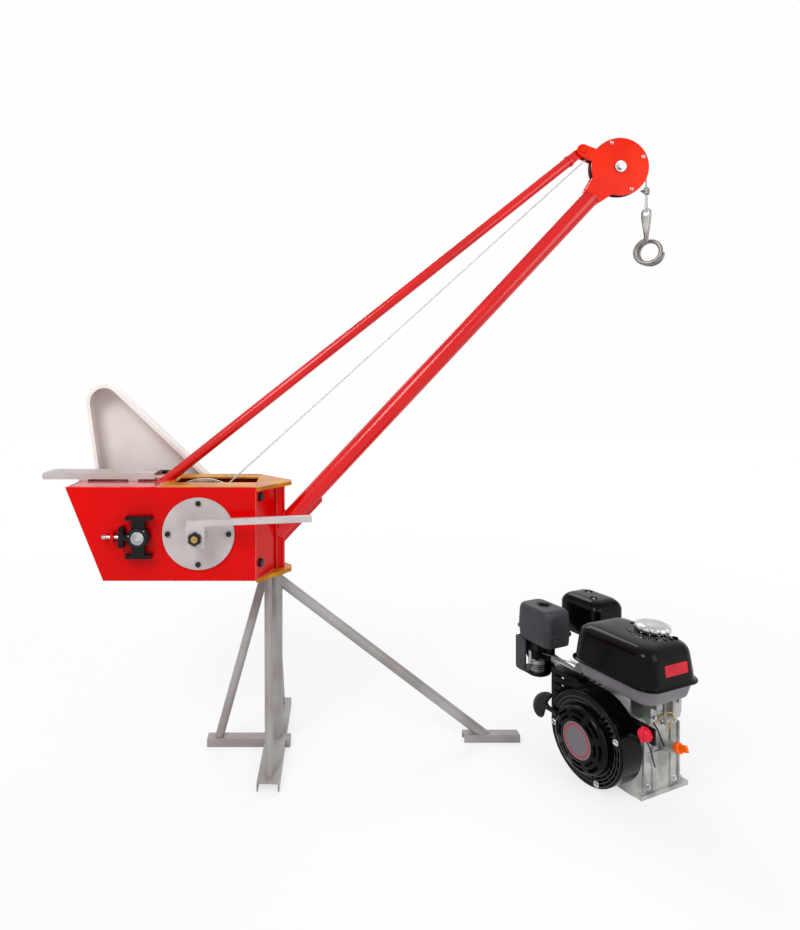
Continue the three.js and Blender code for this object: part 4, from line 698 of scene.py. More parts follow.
# %% Finish a built piece
def built(name, form, finish, body, slot, *stands_for, smooth=40.0, even=True):
    bmesh.ops.recalc_face_normals(form, faces=form.faces)
    piece = add_piece(name, form, finishes[finish], smooth)
    if even:
        even_normals(piece)
    return belongs(piece, body, slot, *stands_for)


# %% [markdown]
# ## The hook and the clip
# The hook's eye is a hole that widens towards both faces, which a loft can't
# have. The faces round it could be laid by hand. A boolean cut in the shape of
# the drill is shorter, and serves again for the slots and dishes of the engine.


# %% Cut one form out of another
def cut_out(form, cutter):
    objects = []
    for label, part in (("whole", form), ("cutter", cutter)):
        bmesh.ops.recalc_face_normals(part, faces=part.faces)
        data = bpy.data.meshes.new(label)
        part.to_mesh(data)
        part.free()
        item = bpy.data.objects.new(label, data)
        bpy.context.scene.collection.objects.link(item)
        objects.append(item)
    modifier = objects[0].modifiers.new("cut", "BOOLEAN")
    modifier.operation = "DIFFERENCE"
    modifier.solver = "EXACT"
    modifier.use_self = True
    modifier.object = objects[1]
    bpy.context.view_layer.update()
    graph = bpy.context.evaluated_depsgraph_get()
    result = bmesh.new()
    result.from_mesh(bpy.data.meshes.new_from_object(objects[0].evaluated_get(graph)))
    for item in objects:
        data = item.data
        bpy.data.objects.remove(item)
        bpy.data.meshes.remove(data)
    return result


# %% [markdown]
# The pigtail hook is forged from one bar: a flat shank with an eye for the
# rope's loop, drawn out round and wound one and three quarter times, so that a
# sling can be threaded in and can't jump out. The shank is a loft from flat to
# round sections, and the winding is a bar swept along a helix, thinner at its
# tip.


# %% Pigtail hook
def tilt(degrees, axis):
    return Matrix.Rotation(math.radians(degrees), 4, axis)


HOOK_X = 1.189
HOOK = Matrix.Translation((HOOK_X, 0, 0)) @ tilt(45, "Z")
RING_Z = 1578.95
RING_RADIUS = 36.25
RING_TURNS = 1.75
RING_PITCH = 30
RING_STEPS = 84
BAR_RADIUS = 0.00675
BAR_SHARES, TIP_SHARES = 30, 2.2
form = bmesh.new()
rings = []
for z, half, thick, round_by in ((1716.5, 6.5, 3.2, 3.1), (1715.6, 9.5, 3.9, 3.8), (1711, 13.4, 4, 3.6),
                                 (1704, 15.3, 4, 3.6), (1694, 15.5, 4, 3.6), (1684, 14.8, 4.2, 3.8),
                                 (1664, 12.2, 4.8, 4.4), (1644, 9.4, 5.8, 5.4), (1630, 7.4, 6.6, 6.3),
                                 (1622, 6.75, 6.7, 6.6)):
    rings.append([(y, x, z) for x, y, _ in round_ring(0, 0, half, thick, round_by, z, 5)])
loft(form, rings, HOOK)
eye = bmesh.new()
turned(eye, [(0, -12), (13, -12), (9.4, -3.2), (9, 0), (9.4, 3.2), (13, 12), (0, 12)],
       HOOK @ Matrix.Translation((0, 0, 1.7012)) @ tilt(90, "Y"), 36)
form = cut_out(form, eye)
path = [HOOK @ (Vector((0, 0, z)) * MM) for z in (1632, 1626, 1620)]
for i in range(RING_STEPS + 1):
    angle = 2 * math.pi * RING_TURNS * i / RING_STEPS
    along_by = RING_PITCH * angle / (2 * math.pi)
    path.append(HOOK @ (Vector((along_by, RING_RADIUS * math.sin(angle),
                                RING_Z + RING_RADIUS * math.cos(angle))) * MM))


def hook_bar(share):
    left = (1 - share) * BAR_SHARES
    return BAR_RADIUS * (1 if left > TIP_SHARES else 0.45 + 0.25 * left)


swept(form, path, hook_bar, 20)
built("pigtail", form, "steel", "hook", "steel", "hook", smooth=50)

# %% [markdown]
# The rope turns back on itself round the hook's loop, and a clip holds both
# parts together: a saddle, two studs with nuts, and above it the short tail of
# the rope. It could be one casting, but blocks and turned studs show how it is
# screwed together. It goes down with the hook, and it is the fitting at the end
# of the rope that hangs.

# %% Rope clip
form = bmesh.new()
block(form, (-11.5, -6.8, 1761.2), (11.5, 4.6, 1766.4), HOOK, 1.4, 3)
block(form, (-11.5, -6.8, 1777.6), (11.5, 4.6, 1782.8), HOOK, 1.4, 3)
block(form, (-11.5, -6.8, 1765), (11.5, 0.4, 1779), HOOK, 1.4, 3)
for side in (-1, 1):
    stud = HOOK @ Matrix.Translation((side * 0.009, 0, 1.772)) @ tilt(-90, "X")
    turned(form, [(0, -7), (2.6, -7), (2.6, 13.4), (2.2, 14.2), (0, 14.2)], stud, 20)
    turned(form, [(0, 4.6), (5.0, 4.6), (5.0, 8.4), (4.5, 9.2), (0, 9.2)], stud, 6)
clip = built("clip_saddle", form, "steel", "hoist", "steel", "rope_clip", smooth=40)
tail_path = [HOOK @ (Vector((5, 0, z)) * MM) for z in (1761.5, 1768, 1776, 1784, 1793.5)]
tail, _ = rope("rope_tail", tail_path, step=0.0012)
belongs(tail, "hoist", "wire_rope", "rope_clip")

# %% [markdown]
# ## Small parts of the winch
# Screws, links, blades and weld drops are one small form repeated many times.
# They could be duplicated one by one, but every change would then be made again
# and again. Here Geometry Nodes set a form on each of a list of points, turned
# and sized by two attributes of the points, then make the copies real and paint
# them.


# %% Copies on points with Geometry Nodes
def copies_tree():
    tree = bpy.data.node_groups.new("copies_on_points", "GeometryNodeTree")
    for label, kind in (("Points", "NodeSocketGeometry"), ("Piece", "NodeSocketObject"),
                        ("Finish", "NodeSocketMaterial")):
        tree.interface.new_socket(label, in_out="INPUT", socket_type=kind)
    tree.interface.new_socket("Copies", in_out="OUTPUT", socket_type="NodeSocketGeometry")
    start = tree.nodes.new("NodeGroupInput")
    end = tree.nodes.new("NodeGroupOutput")
    source = tree.nodes.new("GeometryNodeObjectInfo")
    wire(tree, start.outputs["Piece"], source.inputs["Object"])
    place = tree.nodes.new("GeometryNodeInstanceOnPoints")
    wire(tree, start.outputs["Points"], place.inputs["Points"])
    wire(tree, source.outputs["Geometry"], place.inputs["Instance"])
    for label, socket in (("turn", "Rotation"), ("size", "Scale")):
        read = tree.nodes.new("GeometryNodeInputNamedAttribute")
        read.data_type = "FLOAT_VECTOR"
        read.inputs["Name"].default_value = label
        wire(tree, read.outputs["Attribute"], place.inputs[socket])
    real = tree.nodes.new("GeometryNodeRealizeInstances")
    wire(tree, place.outputs["Instances"], real.inputs["Geometry"])
    paint = tree.nodes.new("GeometryNodeSetMaterial")
    wire(tree, real.outputs["Geometry"], paint.inputs["Geometry"])
    wire(tree, start.outputs["Finish"], paint.inputs["Material"])
    wire(tree, paint.outputs["Geometry"], end.inputs["Copies"])
    return tree


COPIES = copies_tree()
print("copies take", [item.name for item in COPIES.interface.items_tree])

# %% [markdown]
# The tree is used through one function. It gives the points their attributes,
# sets the named inputs before anything is evaluated, and keeps the result as a
# plain mesh, so no modifier is left on the piece. A place is a matrix, and a
# second helper makes one that looks along a direction.


# %% Set a form on a list of places
def copies(name, form, spots, finish, body, slot, *stands_for, smooth=40.0):
    """Sets form on each spot: a place matrix and a size, as one number or three."""
    bmesh.ops.recalc_face_normals(form, faces=form.faces)
    source = add_piece(name + "_one", form, finishes[finish], smooth)
    data = bpy.data.meshes.new(name + "_points")
    data.from_pydata([tuple(place.translation) for place, size in spots], [], [])
    turns, sizes = [], []
    for place, size in spots:
        turns.extend(place.to_euler())
        sizes.extend(size if hasattr(size, "__len__") else (size, size, size))
    for label, values in (("turn", turns), ("size", sizes)):
        data.attributes.new(label, "FLOAT_VECTOR", "POINT").data.foreach_set("vector", values)
    holder = bpy.data.objects.new(name + "_points", data)
    bpy.context.scene.collection.objects.link(holder)
    modifier = holder.modifiers.new("copies", "NODES")
    modifier.node_group = COPIES
    for item in COPIES.interface.items_tree:
        if item.name == "Piece":
            modifier[item.identifier] = source
        if item.name == "Finish":
            modifier[item.identifier] = finishes[finish]
    bpy.context.view_layer.update()
    graph = bpy.context.evaluated_depsgraph_get()
    mesh = bpy.data.meshes.new_from_object(holder.evaluated_get(graph))
    mesh.name = name
    piece = bpy.data.objects.new(name, mesh)
    bpy.context.scene.collection.objects.link(piece)
    bpy.data.objects.remove(holder)
    bpy.data.objects.remove(source)
    return belongs(piece, body, slot, *stands_for)


def facing(place, direction, spin=0.0):
    """A matrix at place whose Z axis looks along direction."""
    turn = Vector(direction).to_track_quat("Z", "Y").to_matrix().to_4x4()
    return Matrix.Translation(place) @ turn @ tilt(spin, "Z")


# %% [markdown]
# The drum's cover is held by four socket screws, the head's cheek by three
# studs and the box's nose by two bolts. The sockets could be cut with a boolean,
# but a profile that goes down inside the head makes them as it is turned. Each
# kind is one form, and its copies look straight out of the plate they are in.

# %% Screws on the cover, the cheek and the nose
HERE = Matrix.Identity(4)
COVER_SCREWS = 0.091
CHEEK_STUDS = 0.0805


def socket_screw(radius, height):
    form = bmesh.new()
    return turned(form, [(0, -1), (radius, -1), (radius, height - 0.9), (radius - 0.9, height),
                         (radius * 0.55, height), (radius * 0.55, height - 3), (0, height - 3)], HERE, 24)


copies("cover_screws", socket_screw(8, 6),
       [(facing(DRUM + Vector((COVER_SCREWS * math.cos(a), -0.1483, COVER_SCREWS * math.sin(a))), (0, -1, 0)), 1)
        for a in (math.pi / 2 * k for k in range(4))],
       "black_bolt", "jib", "steel")
form = bmesh.new()
turned(form, [(0, -0.6), (7.0, -0.6), (7.0, 0.8), (6.2, 2.0), (4.2, 3.0), (2, 3.4), (0, 3.5)], HERE, 28)
copies("cheek_studs", form,
       [(facing(HEAD + Vector((CHEEK_STUDS * math.cos(a), -0.0152, CHEEK_STUDS * math.sin(a))), (0, -1, 0)), 1)
        for a in (math.radians(k) for k in (109, 23, -63))],
       "zinc", "jib", "zinc")
nose_outwards = Vector((0.9066, -0.4224, 0))
form = bmesh.new()
turned(form, [(0, -1), (14.5, -1), (14.5, 1.6), (13.8, 2.2), (0, 2.2)], HERE, 32)
turned(form, [(0, 2), (12.2, 2), (12.2, 9.4), (11, 10.6), (7, 10.8), (0, 11.4)], HERE, 6)
copies("nose_bolts", form, [(facing((-0.0437, -0.1180, z), nose_outwards, 15), 1) for z in (0.812, 0.613)],
       "black_bolt", "jib", "steel")

# %% [markdown]
# Where a shaft ends in its bearing, rings, grooves and a collar show one inside
# the other. They could be separate rings, but then each would need its own fit.
# One profile turned about the shaft's axis has them all, with grooves that are
# less than a millimetre deep.

# %% Rings on the shaft ends
form = bmesh.new()
turned(form, [(0, 221.6), (9.5, 221.6), (9.5, 222.6), (8.8, 223.2), (5.5, 223.2), (5.2, 222.7), (4.6, 222.7),
              (4.3, 223.2), (0, 223.2)], Matrix.Translation(DRUM) @ tilt(90, "X"), 40)
built("shaft_end", form, "bronze", "jib", "bronze")
INPUT = Matrix.Translation((-0.402, 0, 0.698)) @ tilt(90, "X")
form = bmesh.new()
turned(form, [(0, 175.4), (2.0, 175.4), (2.0, 176.0), (3.2, 176.8), (9.6, 176.8), (10.2, 176.1), (11.2, 176.1),
              (11.8, 176.8), (14.6, 176.8), (15.2, 175.9), (16.2, 175.9), (16.8, 176.8), (18.6, 176.8),
              (19.4, 176.0), (19.4, 172), (0, 172)], INPUT, 64)
built("bearing_face", form, "zinc", "input_shaft", "zinc", smooth=25)
form = bmesh.new()
turned(form, [(21.4, 167.2), (27.5, 167.2), (27.5, 172.4), (26.4, 173.4), (22.6, 173.4), (21.4, 172.4),
              (21.4, 167.2)], INPUT, 56)
built("bearing_collar", form, "black_bolt", "takeup", "steel")
copies("collar_screws", socket_screw(2.6, 2.4),
       [(INPUT @ tilt(a, "Z") @ Matrix.Translation((0.0272, 0, 0.1702)) @ tilt(90, "Y"), 1) for a in (48, 168)],
       "zinc", "takeup", "zinc")

# %% [markdown]
# A roller chain with a pitch of 15.875 mm drives the drum. It goes round 15
# teeth on the input shaft and 48 on the drum, and straight between them. A curve
# with an Array modifier could carry the links, but they would not meet where it
# closes. So the loop is measured first and divided into an even number of links,
# because outer and inner ones take turns.

# %% Path of the roller chain
CHAIN_PITCH = 15.875
DRUM_TEETH, INPUT_TEETH = 48, 15
DRUM_SHAFT, INPUT_SHAFT = Vector((-226, 706)), Vector((-402, 698))
CHAIN_Y = -0.090


def chain_joints():
    big, small = (CHAIN_PITCH / (2 * math.sin(math.pi / teeth)) for teeth in (DRUM_TEETH, INPUT_TEETH))
    gap = INPUT_SHAFT - DRUM_SHAFT
    lean = math.atan2(gap.y, gap.x)
    half = math.acos((big - small) / gap.length)
    ring = []
    for middle, radius, start, sweep, steps in ((DRUM_SHAFT, big, lean + half, 2 * math.pi - 2 * half, 96),
                                                (INPUT_SHAFT, small, lean - half, 2 * half, 32)):
        for i in range(steps + 1):
            t = start + sweep * i / steps
            ring.append(Vector((middle.x + radius * math.cos(t), 0, middle.y + radius * math.sin(t))))
    ring.append(ring[0])
    total = sum((q - p).length for p, q in zip(ring, ring[1:]))
    count = 2 * round(total / CHAIN_PITCH / 2)
    joints, _ = spread(ring, total / count)
    return joints[:count]


joints = chain_joints()
links = {"outer": [], "inner": []}
for i, joint in enumerate(joints):
    following = joints[(i + 1) % len(joints)]
    ahead = (following - joint).normalized()
    up = ahead.cross(Vector((0, 1, 0)))
    centre = (joint + following) / 2 * MM + Vector((0, CHAIN_Y, 0))
    place = Matrix(((ahead.x, 0, up.x, centre.x), (ahead.y, 1, up.y, centre.y), (ahead.z, 0, up.z, centre.z),
                    (0, 0, 0, 1)))
    links["outer" if i % 2 else "inner"].append((place, 1))
print(len(joints), "chain links")

# %% [markdown]
# A link is two waisted plates, and the inner links carry the rollers. Modelled
# one by one the chain would be long work and a heavy mesh. Two forms of a few
# dozen faces, set on every other place, make the whole of it.

# %% Chain links
PLATE_END = 6.6
PLATE_WAIST = 5.2


def link_plates(form, near, far):
    outline = []
    for side, start in ((1, -90), (-1, 90)):
        outline += [(side * CHAIN_PITCH / 2 + PLATE_END * math.cos(t), PLATE_END * math.sin(t))
                    for t in (math.radians(start + 22.5 * i) for i in range(9))]
        outline.append((0, side * PLATE_WAIST))
    for y0, y1 in ((-far, -near), (near, far)):
        loft(form, [[(x, y, z) for x, z in outline] for y in (y0, y1)], HERE)


form = bmesh.new()
link_plates(form, 6.9, 8.0)
copies("chain_outer", form, links["outer"], "black_iron", "jib", "black_iron", "chain")
form = bmesh.new()
link_plates(form, 5.6, 6.7)
for x in (-CHAIN_PITCH / 2, CHAIN_PITCH / 2):
    turned(form, [(0, -6.7), (2.1, -6.7), (2.1, 6.7), (0, 6.7)],
           Matrix.Translation((x * MM, 0, 0.005)) @ tilt(-90, "X"), 12)
copies("chain_inner", form, links["inner"], "black_iron", "jib", "black_iron", "chain")

# %% [markdown]
# ## Welds
# The box is held together by weld beads, which show under the paint as scaled
# lines where plates meet. A tube along the seam would look like putty.
# Overlapping drops of slightly different sizes, set closely on the seam by the
# same copies, give the scales.

# %% Weld beads
DROP_STEP = 1.3


def weld(name, points, radius, finish="weld_red", slot="red_paint"):
    path, _ = spread(points, radius * DROP_STEP * MM)
    drop = bmesh.new()
    turned(drop, [(0, -1.15), (0.55, -0.95), (0.9, -0.5), (1.0, 0.1), (0.85, 0.65), (0.5, 0.98), (0, 1.1)],
           HERE, 10)
    spots = []
    for i, point in enumerate(path):
        ahead = path[min(i + 1, len(path) - 1)] - path[max(i - 1, 0)]
        size = radius * (1 + 0.16 * math.sin(i * 2.3) + 0.1 * math.sin(i * 0.7 + 1))
        spots.append((facing(point, ahead), (size, size, size * 0.9)))
    copies(name, drop, spots, finish, "jib", slot, smooth=80)


# %% [markdown]
# The long seams lie at the same places on the front and on the rear. Writing
# them out twice would invite slips, so one table gives each seam's two ends and
# the radius of its bead, and a loop lays it on both sides. The bead on the ochre
# plate is painted ochre.

# %% Seams on both sides
SEAMS = (("nose", (-0.0545, 0.1402, 0.5690), (-0.0545, 0.1402, 0.8315), 2.6),
         ("sleeve", (0.0035, 0.0300, 0.5700), (0.0035, 0.0300, 0.8308), 2.4),
         ("end", (-0.6262, 0.1338, 0.8425), (-0.5082, 0.1338, 0.5640), 2.0),
         ("top", (-0.616, 0.1339, 0.8434), (-0.357, 0.1339, 0.8434), 2.2),
         ("ochre", (-0.347, 0.1339, 0.8434), (-0.060, 0.1339, 0.8434), 1.8),
         ("under", (-0.300, 0.1345, 0.5636), (-0.056, 0.1345, 0.5636), 2.2),
         ("upper", (-0.0500, 0.1370, 0.8306), (-0.0040, 0.0360, 0.8306), 2.0),
         ("lower", (-0.0500, 0.1370, 0.5698), (-0.0040, 0.0360, 0.5698), 2.0))
SIDES = (("front", -1), ("rear", 1))
for name, side in SIDES:
    for seam, start, end, radius in SEAMS:
        paint = ("ochre_paint", "ochre_paint") if seam == "ochre" else ()
        weld("weld_" + seam + "_" + name, [(x, side * y, z) for x, y, z in (start, end)], radius, *paint)

# %% [markdown]
# The tie's foot is welded all round, and so is the boom, which meets the sleeve
# at a slant. Its weld is no circle but the curve in which two round tubes cut
# each other. It could be drawn by eye. Here each point round the boom is moved
# along the boom until it lies on the sleeve.

# %% Welds at the tie and the boom
SLEEVE_RADIUS = 0.0296
BOOM_RADIUS = 0.0288
BOOM_FOOT = 0.674
FOOT_STEPS, ROOT_STEPS = 40, 60
weld("weld_tie_foot", [(-0.3524 + 0.0290 * math.cos(a), 0.0185 * math.sin(a), 0.8450)
                       for a in (2 * math.pi * i / FOOT_STEPS for i in range(FOOT_STEPS + 1))], 2.4)
boom_rise = math.atan2(HEAD_Z - BOOM_FOOT, HEAD_X)
boom_along = Vector((math.cos(boom_rise), 0, math.sin(boom_rise)))
boom_down = Vector((math.sin(boom_rise), 0, -math.cos(boom_rise)))
boom_start = Vector((0, 0, BOOM_FOOT))
root = []
for i in range(ROOT_STEPS + 1):
    t = 2 * math.pi * i / ROOT_STEPS
    side_y = BOOM_RADIUS * math.sin(t)
    reach = math.sqrt(max(SLEEVE_RADIUS ** 2 - side_y ** 2, 0))
    down_by = BOOM_RADIUS * math.cos(t)
    along_by = (reach - boom_down.x * down_by) / boom_along.x
    root.append(boom_start + boom_along * along_by + boom_down * down_by + Vector((0, side_y, 0)))
weld("weld_boom_root", root, 2.4)
for name, side in SIDES:
    edge_line = [boom_start + boom_along * t + boom_down * 0.0284 + Vector((0, side * 0.0066, 0))
                 for t in (0.046, 0.179)]
    weld("weld_gusset_" + name, edge_line, 1.8)

# %% [markdown]
# ## The engine
# It stands by itself beside the crane, with its starter to the front. Its pieces
# could be measured in the crane's frame, but each would then be on the slant.
# They are made in the engine's own frame, with X to its right and Y to its back,
# and FACE looks out of the starter, with its middle on the crank.

# %% Engine frames
CRANK_HEIGHT = 0.132
ENGINE = Matrix.Translation((1.045, -0.150, 0)) @ tilt(-66, "Z")
FACE = ENGINE @ Matrix.Translation((0, 0, CRANK_HEIGHT)) @ tilt(90, "X")
BACK = ENGINE @ Matrix.Translation((0, 0, CRANK_HEIGHT)) @ tilt(-90, "X")


def on_engine(x, y, z):
    return ENGINE @ (Vector((x, y, z)) * MM)


def engine_axis(x, y, z):
    return (ENGINE.to_3x3() @ Vector((x, y, z))).normalized()


print("engine stands at", [round(v, 3) for v in on_engine(0, 0, 0)])

# %% [markdown]
# The fuel tank is pressed from sheet: a domed black shell, a rim, and a grey pan
# under it. Extruding and scaling a box by hand would give uneven corners. Each
# level is a rounded rectangle with its own inset, so the dome is a list of
# heights and insets.

# %% Fuel tank
TANK = (62.5, -39.0, 142.5, 111.0)
TANK_CORNER = 47


def tank_rings(levels):
    x, y, half_x, half_y = TANK
    return [round_ring(x, y, half_x - inset, half_y - inset, max(TANK_CORNER - inset * 0.45, 9), z, 10)
            for z, inset in levels]


form = bmesh.new()
loft(form, tank_rings([(339.2, 0.6), (339.4, 0.0), (341.8, 0.0), (342.8, 0.9), (343.2, 3.0), (343.8, 6.0), (346, 7.4),
                       (352, 8.0), (372, 10.3), (396, 13.2), (412, 15.4), (421, 17.2), (428, 20.0), (434, 24.2),
                       (438.5, 29.4), (441.6, 36.0), (443.6, 44.0), (444.9, 54.0), (445.6, 68.0), (445.9, 84.0),
                       (446.0, 100.0)]), ENGINE)
built("tank_shell", form, "black_enamel", "stand", "black_enamel", "fuel_tank", smooth=50)
form = bmesh.new()
loft(form, tank_rings([(292.2, 40), (292.4, 30), (293.6, 25.0), (297, 21.6), (304, 19.4), (320, 15.4), (333, 12.2),
                       (336.2, 10.6), (336.8, 8.6), (337.2, 3.0), (337.8, 1.2), (338.2, 0.9), (339.1, 0.9)]), ENGINE)
built("tank_pan", form, "tank_grey", "stand", "black_enamel", "fuel_tank", smooth=50)

# %% [markdown]
# On the dome are a neck for the cap, raised bars bent round it and short ribs,
# and a plain plate is on the side. The bars could be drawn as curves. As arcs of
# a rectangular section they keep flat tops, and they are let into the dome, so
# that only those tops show.


# %% Neck, ridges and plate of the tank
def arc_bar(form, inner, outer, start, end, low, high, place, steps):
    """A bar bent round the local Z axis, from one angle to another, in degrees."""
    angles = [math.radians(start + (end - start) * i / steps) for i in range(steps + 1)]
    rings = []
    for angle in angles:
        rings.append([(r * math.cos(angle), r * math.sin(angle), z)
                      for r, z in ((inner, low), (outer, low), (outer, high), (inner, high))])
    return loft(form, rings, place)


CAP = ENGINE @ Matrix.Translation((0.085, 0.014, 0))
form = bmesh.new()
turned(form, [(0, 444), (38.5, 444), (38.5, 448), (36.5, 452), (36.0, 453), (0, 453)], CAP, 48)
built("tank_neck", form, "black_enamel", "stand", "black_enamel", "fuel_tank")
form = bmesh.new()
for start, end in ((148, 186), (208, 258)):
    arc_bar(form, 64, 71, start, end, 440, 447.6, CAP, 10)
for angle in (282, 300, 318, 336, 354, 12):
    arc_bar(form, 56, 70, angle - 3.2, angle + 3.2, 440, 447.8, CAP, 3)
round_edges(form, form.edges[:], 0.0012)
built("tank_ridges", form, "black_enamel", "stand", "black_enamel", "fuel_tank")
form = bmesh.new()
loft(form, [round_ring(0, 0, 44 - inset, 15 - inset, 2.4, z, 4) for z, inset in ((-1, 0), (0.5, 0), (0.9, 0.5))],
     ENGINE @ Matrix.Translation((0.1927, -0.030, 0.385)) @ tilt(90 - 6.5, "Y") @ tilt(90, "Z"))
built("tank_plate", form, "ring_red", "stand", "red_plastic")

# %% [markdown]
# The cap is a bright pressing with twelve notches round its edge for the hand.
# Cutting them out would leave sharp corners. Instead the whole cap is one turned
# profile, and its radius dips at each notch between two heights.

# %% Tank cap
NOTCHES = 12
NOTCH_DEPTH = 0.07


def cap_wave(angle, height):
    if height > 463.4 or height < 447.2:
        return 1.0
    return 1.0 - NOTCH_DEPTH * max(0.0, math.cos(NOTCHES * angle)) ** 4


form = bmesh.new()
turned(form, [(0, 467.2), (24, 467.2), (27, 467.6), (31, 468.2), (35, 467.8), (37.5, 466.6), (40.5, 465.6),
              (44.0, 464.2), (46.4, 462.0), (47.6, 459.0), (48.0, 455.0), (48.0, 449.6), (47.2, 447.4), (46.0, 446.6),
              (41.0, 446.6), (38.0, 447.2), (37.4, 453.6), (0, 453.6)], CAP, 144, cap_wave)
built("cap", form, "cap_chrome", "tank_cap", "cap_chrome", "tank_cap", smooth=50)

# %% [markdown]
# The air filter's box is moulded: a flat base, a domed lid with a dish in its
# top, and in the dish a knob that holds the lid. Base and lid are lofts of one
# rounded rectangle. The dish could be more rings of the loft, but those would be
# rectangles too, and it is round, so it is cut out.

# %% Air filter
FILTER = ENGINE @ Matrix.Translation((-0.234, -0.086, 0))
FILTER_CORNER = 26


def filter_rings(levels):
    return [round_ring(-234, -86, 76 - inset, 56 - inset, max(FILTER_CORNER - inset * 0.5, 6), z, 8)
            for z, inset in levels]


form = bmesh.new()
loft(form, filter_rings([(318.2, 16), (318.6, 10), (320.5, 7.4), (326, 6.2), (340, 5.2), (351.4, 4.6),
                         (352.4, 4.6)]), ENGINE)
built("filter_base", form, "black_plastic", "stand", "black_plastic", "air_filter", smooth=50)
form = bmesh.new()
loft(form, filter_rings([(352.2, 4.0), (352.2, 0.8), (353, 0.0), (357.4, 0.0), (358.6, 0.9), (359.2, 2.4), (361, 3.2),
                         (380, 4.0), (408, 5.2), (417, 6.2), (424, 8.2), (429, 11.4), (432.4, 16), (434, 21),
                         (434.8, 28), (435, 40), (435, 50)]), ENGINE)
dish = bmesh.new()
turned(dish, [(0, 426.5), (17, 426.5), (21, 429), (24, 436), (24, 440), (0, 440)], FILTER, 36)
form = cut_out(form, dish)
built("filter_lid", form, "black_plastic", "stand", "black_plastic", "air_filter", smooth=38)
form = bmesh.new()
turned(form, [(0, 426), (12, 426), (12.5, 428), (11, 431), (6.5, 432.5), (6, 437), (0, 437)], FILTER, 28)
block(form, (-14, -2.4, 429), (14, 2.4, 441), FILTER @ tilt(35, "Z"), 2.2, 3)
built("filter_knob", form, "rubber", "stand", "black_plastic", "air_filter")

# %% [markdown]
# The muffler is hot, so a pressed hood covers it. A Solidify modifier could
# give the hood its thickness. Here the loft goes up the outside and down again
# inside, a wall's thickness further in, because the metal's edge shows in the
# slots that are cut next and has to be even there.

# %% Muffler guard
GUARD = (-200, 85, 80, 65)
GUARD_WALL = 1.9
ROOF_WALL, ROOF_FROM = 1.8, 430


def guard_rings(levels, extra=0.0):
    x, y, half_x, half_y = GUARD
    return [round_ring(x, y, half_x - inset - extra, half_y - inset - extra, max(28 - (inset + extra) * 0.3, 8), z, 8)
            for z, inset in levels]


outer = [(332, 7.0), (338, 5.0), (348, 2.4), (362, 0.2), (376, 0.0), (424, 0.0), (431, 1.2), (438, 4.4), (444, 9.0),
         (449, 14.0), (452.4, 19.4), (454.2, 26.0), (455, 36.0), (455, 50)]
inner = [(z - (ROOF_WALL if z > ROOF_FROM else 0), inset) for z, inset in reversed(outer)]
form = bmesh.new()
made = [[form.verts.new(ENGINE @ (Vector(p) * MM)) for p in ring]
        for ring in guard_rings(outer) + guard_rings(inner, GUARD_WALL)]
top = len(outer) - 1
for i, (low, high) in enumerate(zip(made, made[1:])):
    if i != top:
        join_rings(form, low, high)
form.faces.new(made[top])
form.faces.new(list(reversed(made[top + 1])))
join_rings(form, made[-1], made[0])
print("muffler guard has", len(made), "rings")

# %% [markdown]
# A row of slots along the hood's upper corner lets the heat out, square to the
# corner all the way round. Cut from one side they would slant on the others. Each
# slot is a block with its own frame, taken from a ring of even steps at that
# height: one axis along the ring, one out of the corner and upwards. Two dished
# wells take the bolts.

# %% Slots and wells of the muffler guard
SLOT_STEP = 9.0
SLOT_INSET, SLOT_CORNER, SLOT_HEIGHT = 9.0, 25, 444
GUARD_BOLTS = ((-228, 104), (-172, 66))
slots = bmesh.new()
x, y, half_x, half_y = GUARD
ring = round_ring(x, y, half_x - SLOT_INSET, half_y - SLOT_INSET, SLOT_CORNER, SLOT_HEIGHT, 8)
ring_points, _ = spread(ring + ring[:1], SLOT_STEP)
for i, point in enumerate(ring_points[:-1]):
    ahead = (ring_points[i + 1] - ring_points[i - 1 if i else -2]).normalized()
    out = (Vector((ahead.y, -ahead.x, 0)) + Vector((0, 0, 0.95))).normalized()
    down = ahead.cross(out)
    place = ENGINE @ Matrix.Translation(point * MM) @ Matrix((
        (ahead.x, down.x, out.x, 0), (ahead.y, down.y, out.y, 0), (ahead.z, down.z, out.z, 0), (0, 0, 0, 1)))
    block(slots, (-1.9, -6.2, -9), (1.9, 6.2, 6), place, 0)
form = cut_out(form, slots)
wells = [ENGINE @ Matrix.Translation((x * MM, y * MM, 0)) for x, y in GUARD_BOLTS]
recess = bmesh.new()
for well in wells:
    turned(recess, [(0, 447), (9, 447), (14, 456), (14, 458), (0, 458)], well, 28)
form = cut_out(form, recess)
built("muffler_guard_hood", form, "black_enamel", "stand", "black_enamel", "muffler_guard", smooth=35)
form = bmesh.new()
for well in wells:
    turned(form, [(0, 444.5), (9.4, 444.5), (15.2, 455.2), (13.4, 455.4), (8.4, 447), (0, 447)], well, 28)
built("muffler_guard_wells", form, "black_enamel", "stand", "black_enamel", "muffler_guard")

# %% [markdown]
# Two small bolts sit in the wells, and through the slots one sees the can of
# the muffler itself. A hexagon bolt is wanted many times on the engine, so it is
# a helper: a washer, and a head turned with six sides. The can is a plain loft,
# as only glimpses of it show.


# %% Hexagon bolts and the muffler's can
def hex_bolt(across, height, washer):
    form = bmesh.new()
    turned(form, [(0, -0.5), (washer, -0.5), (washer, 1.1), (washer - 0.4, 1.5), (0, 1.5)], HERE, 28)
    base = 1.4
    radius = across / 2 / math.cos(math.pi / 6)
    return turned(form, [(0, base - 1), (radius, base - 1), (radius, base + height * 0.82),
                         (radius * 0.9, base + height), (0, base + height)], HERE, 6)


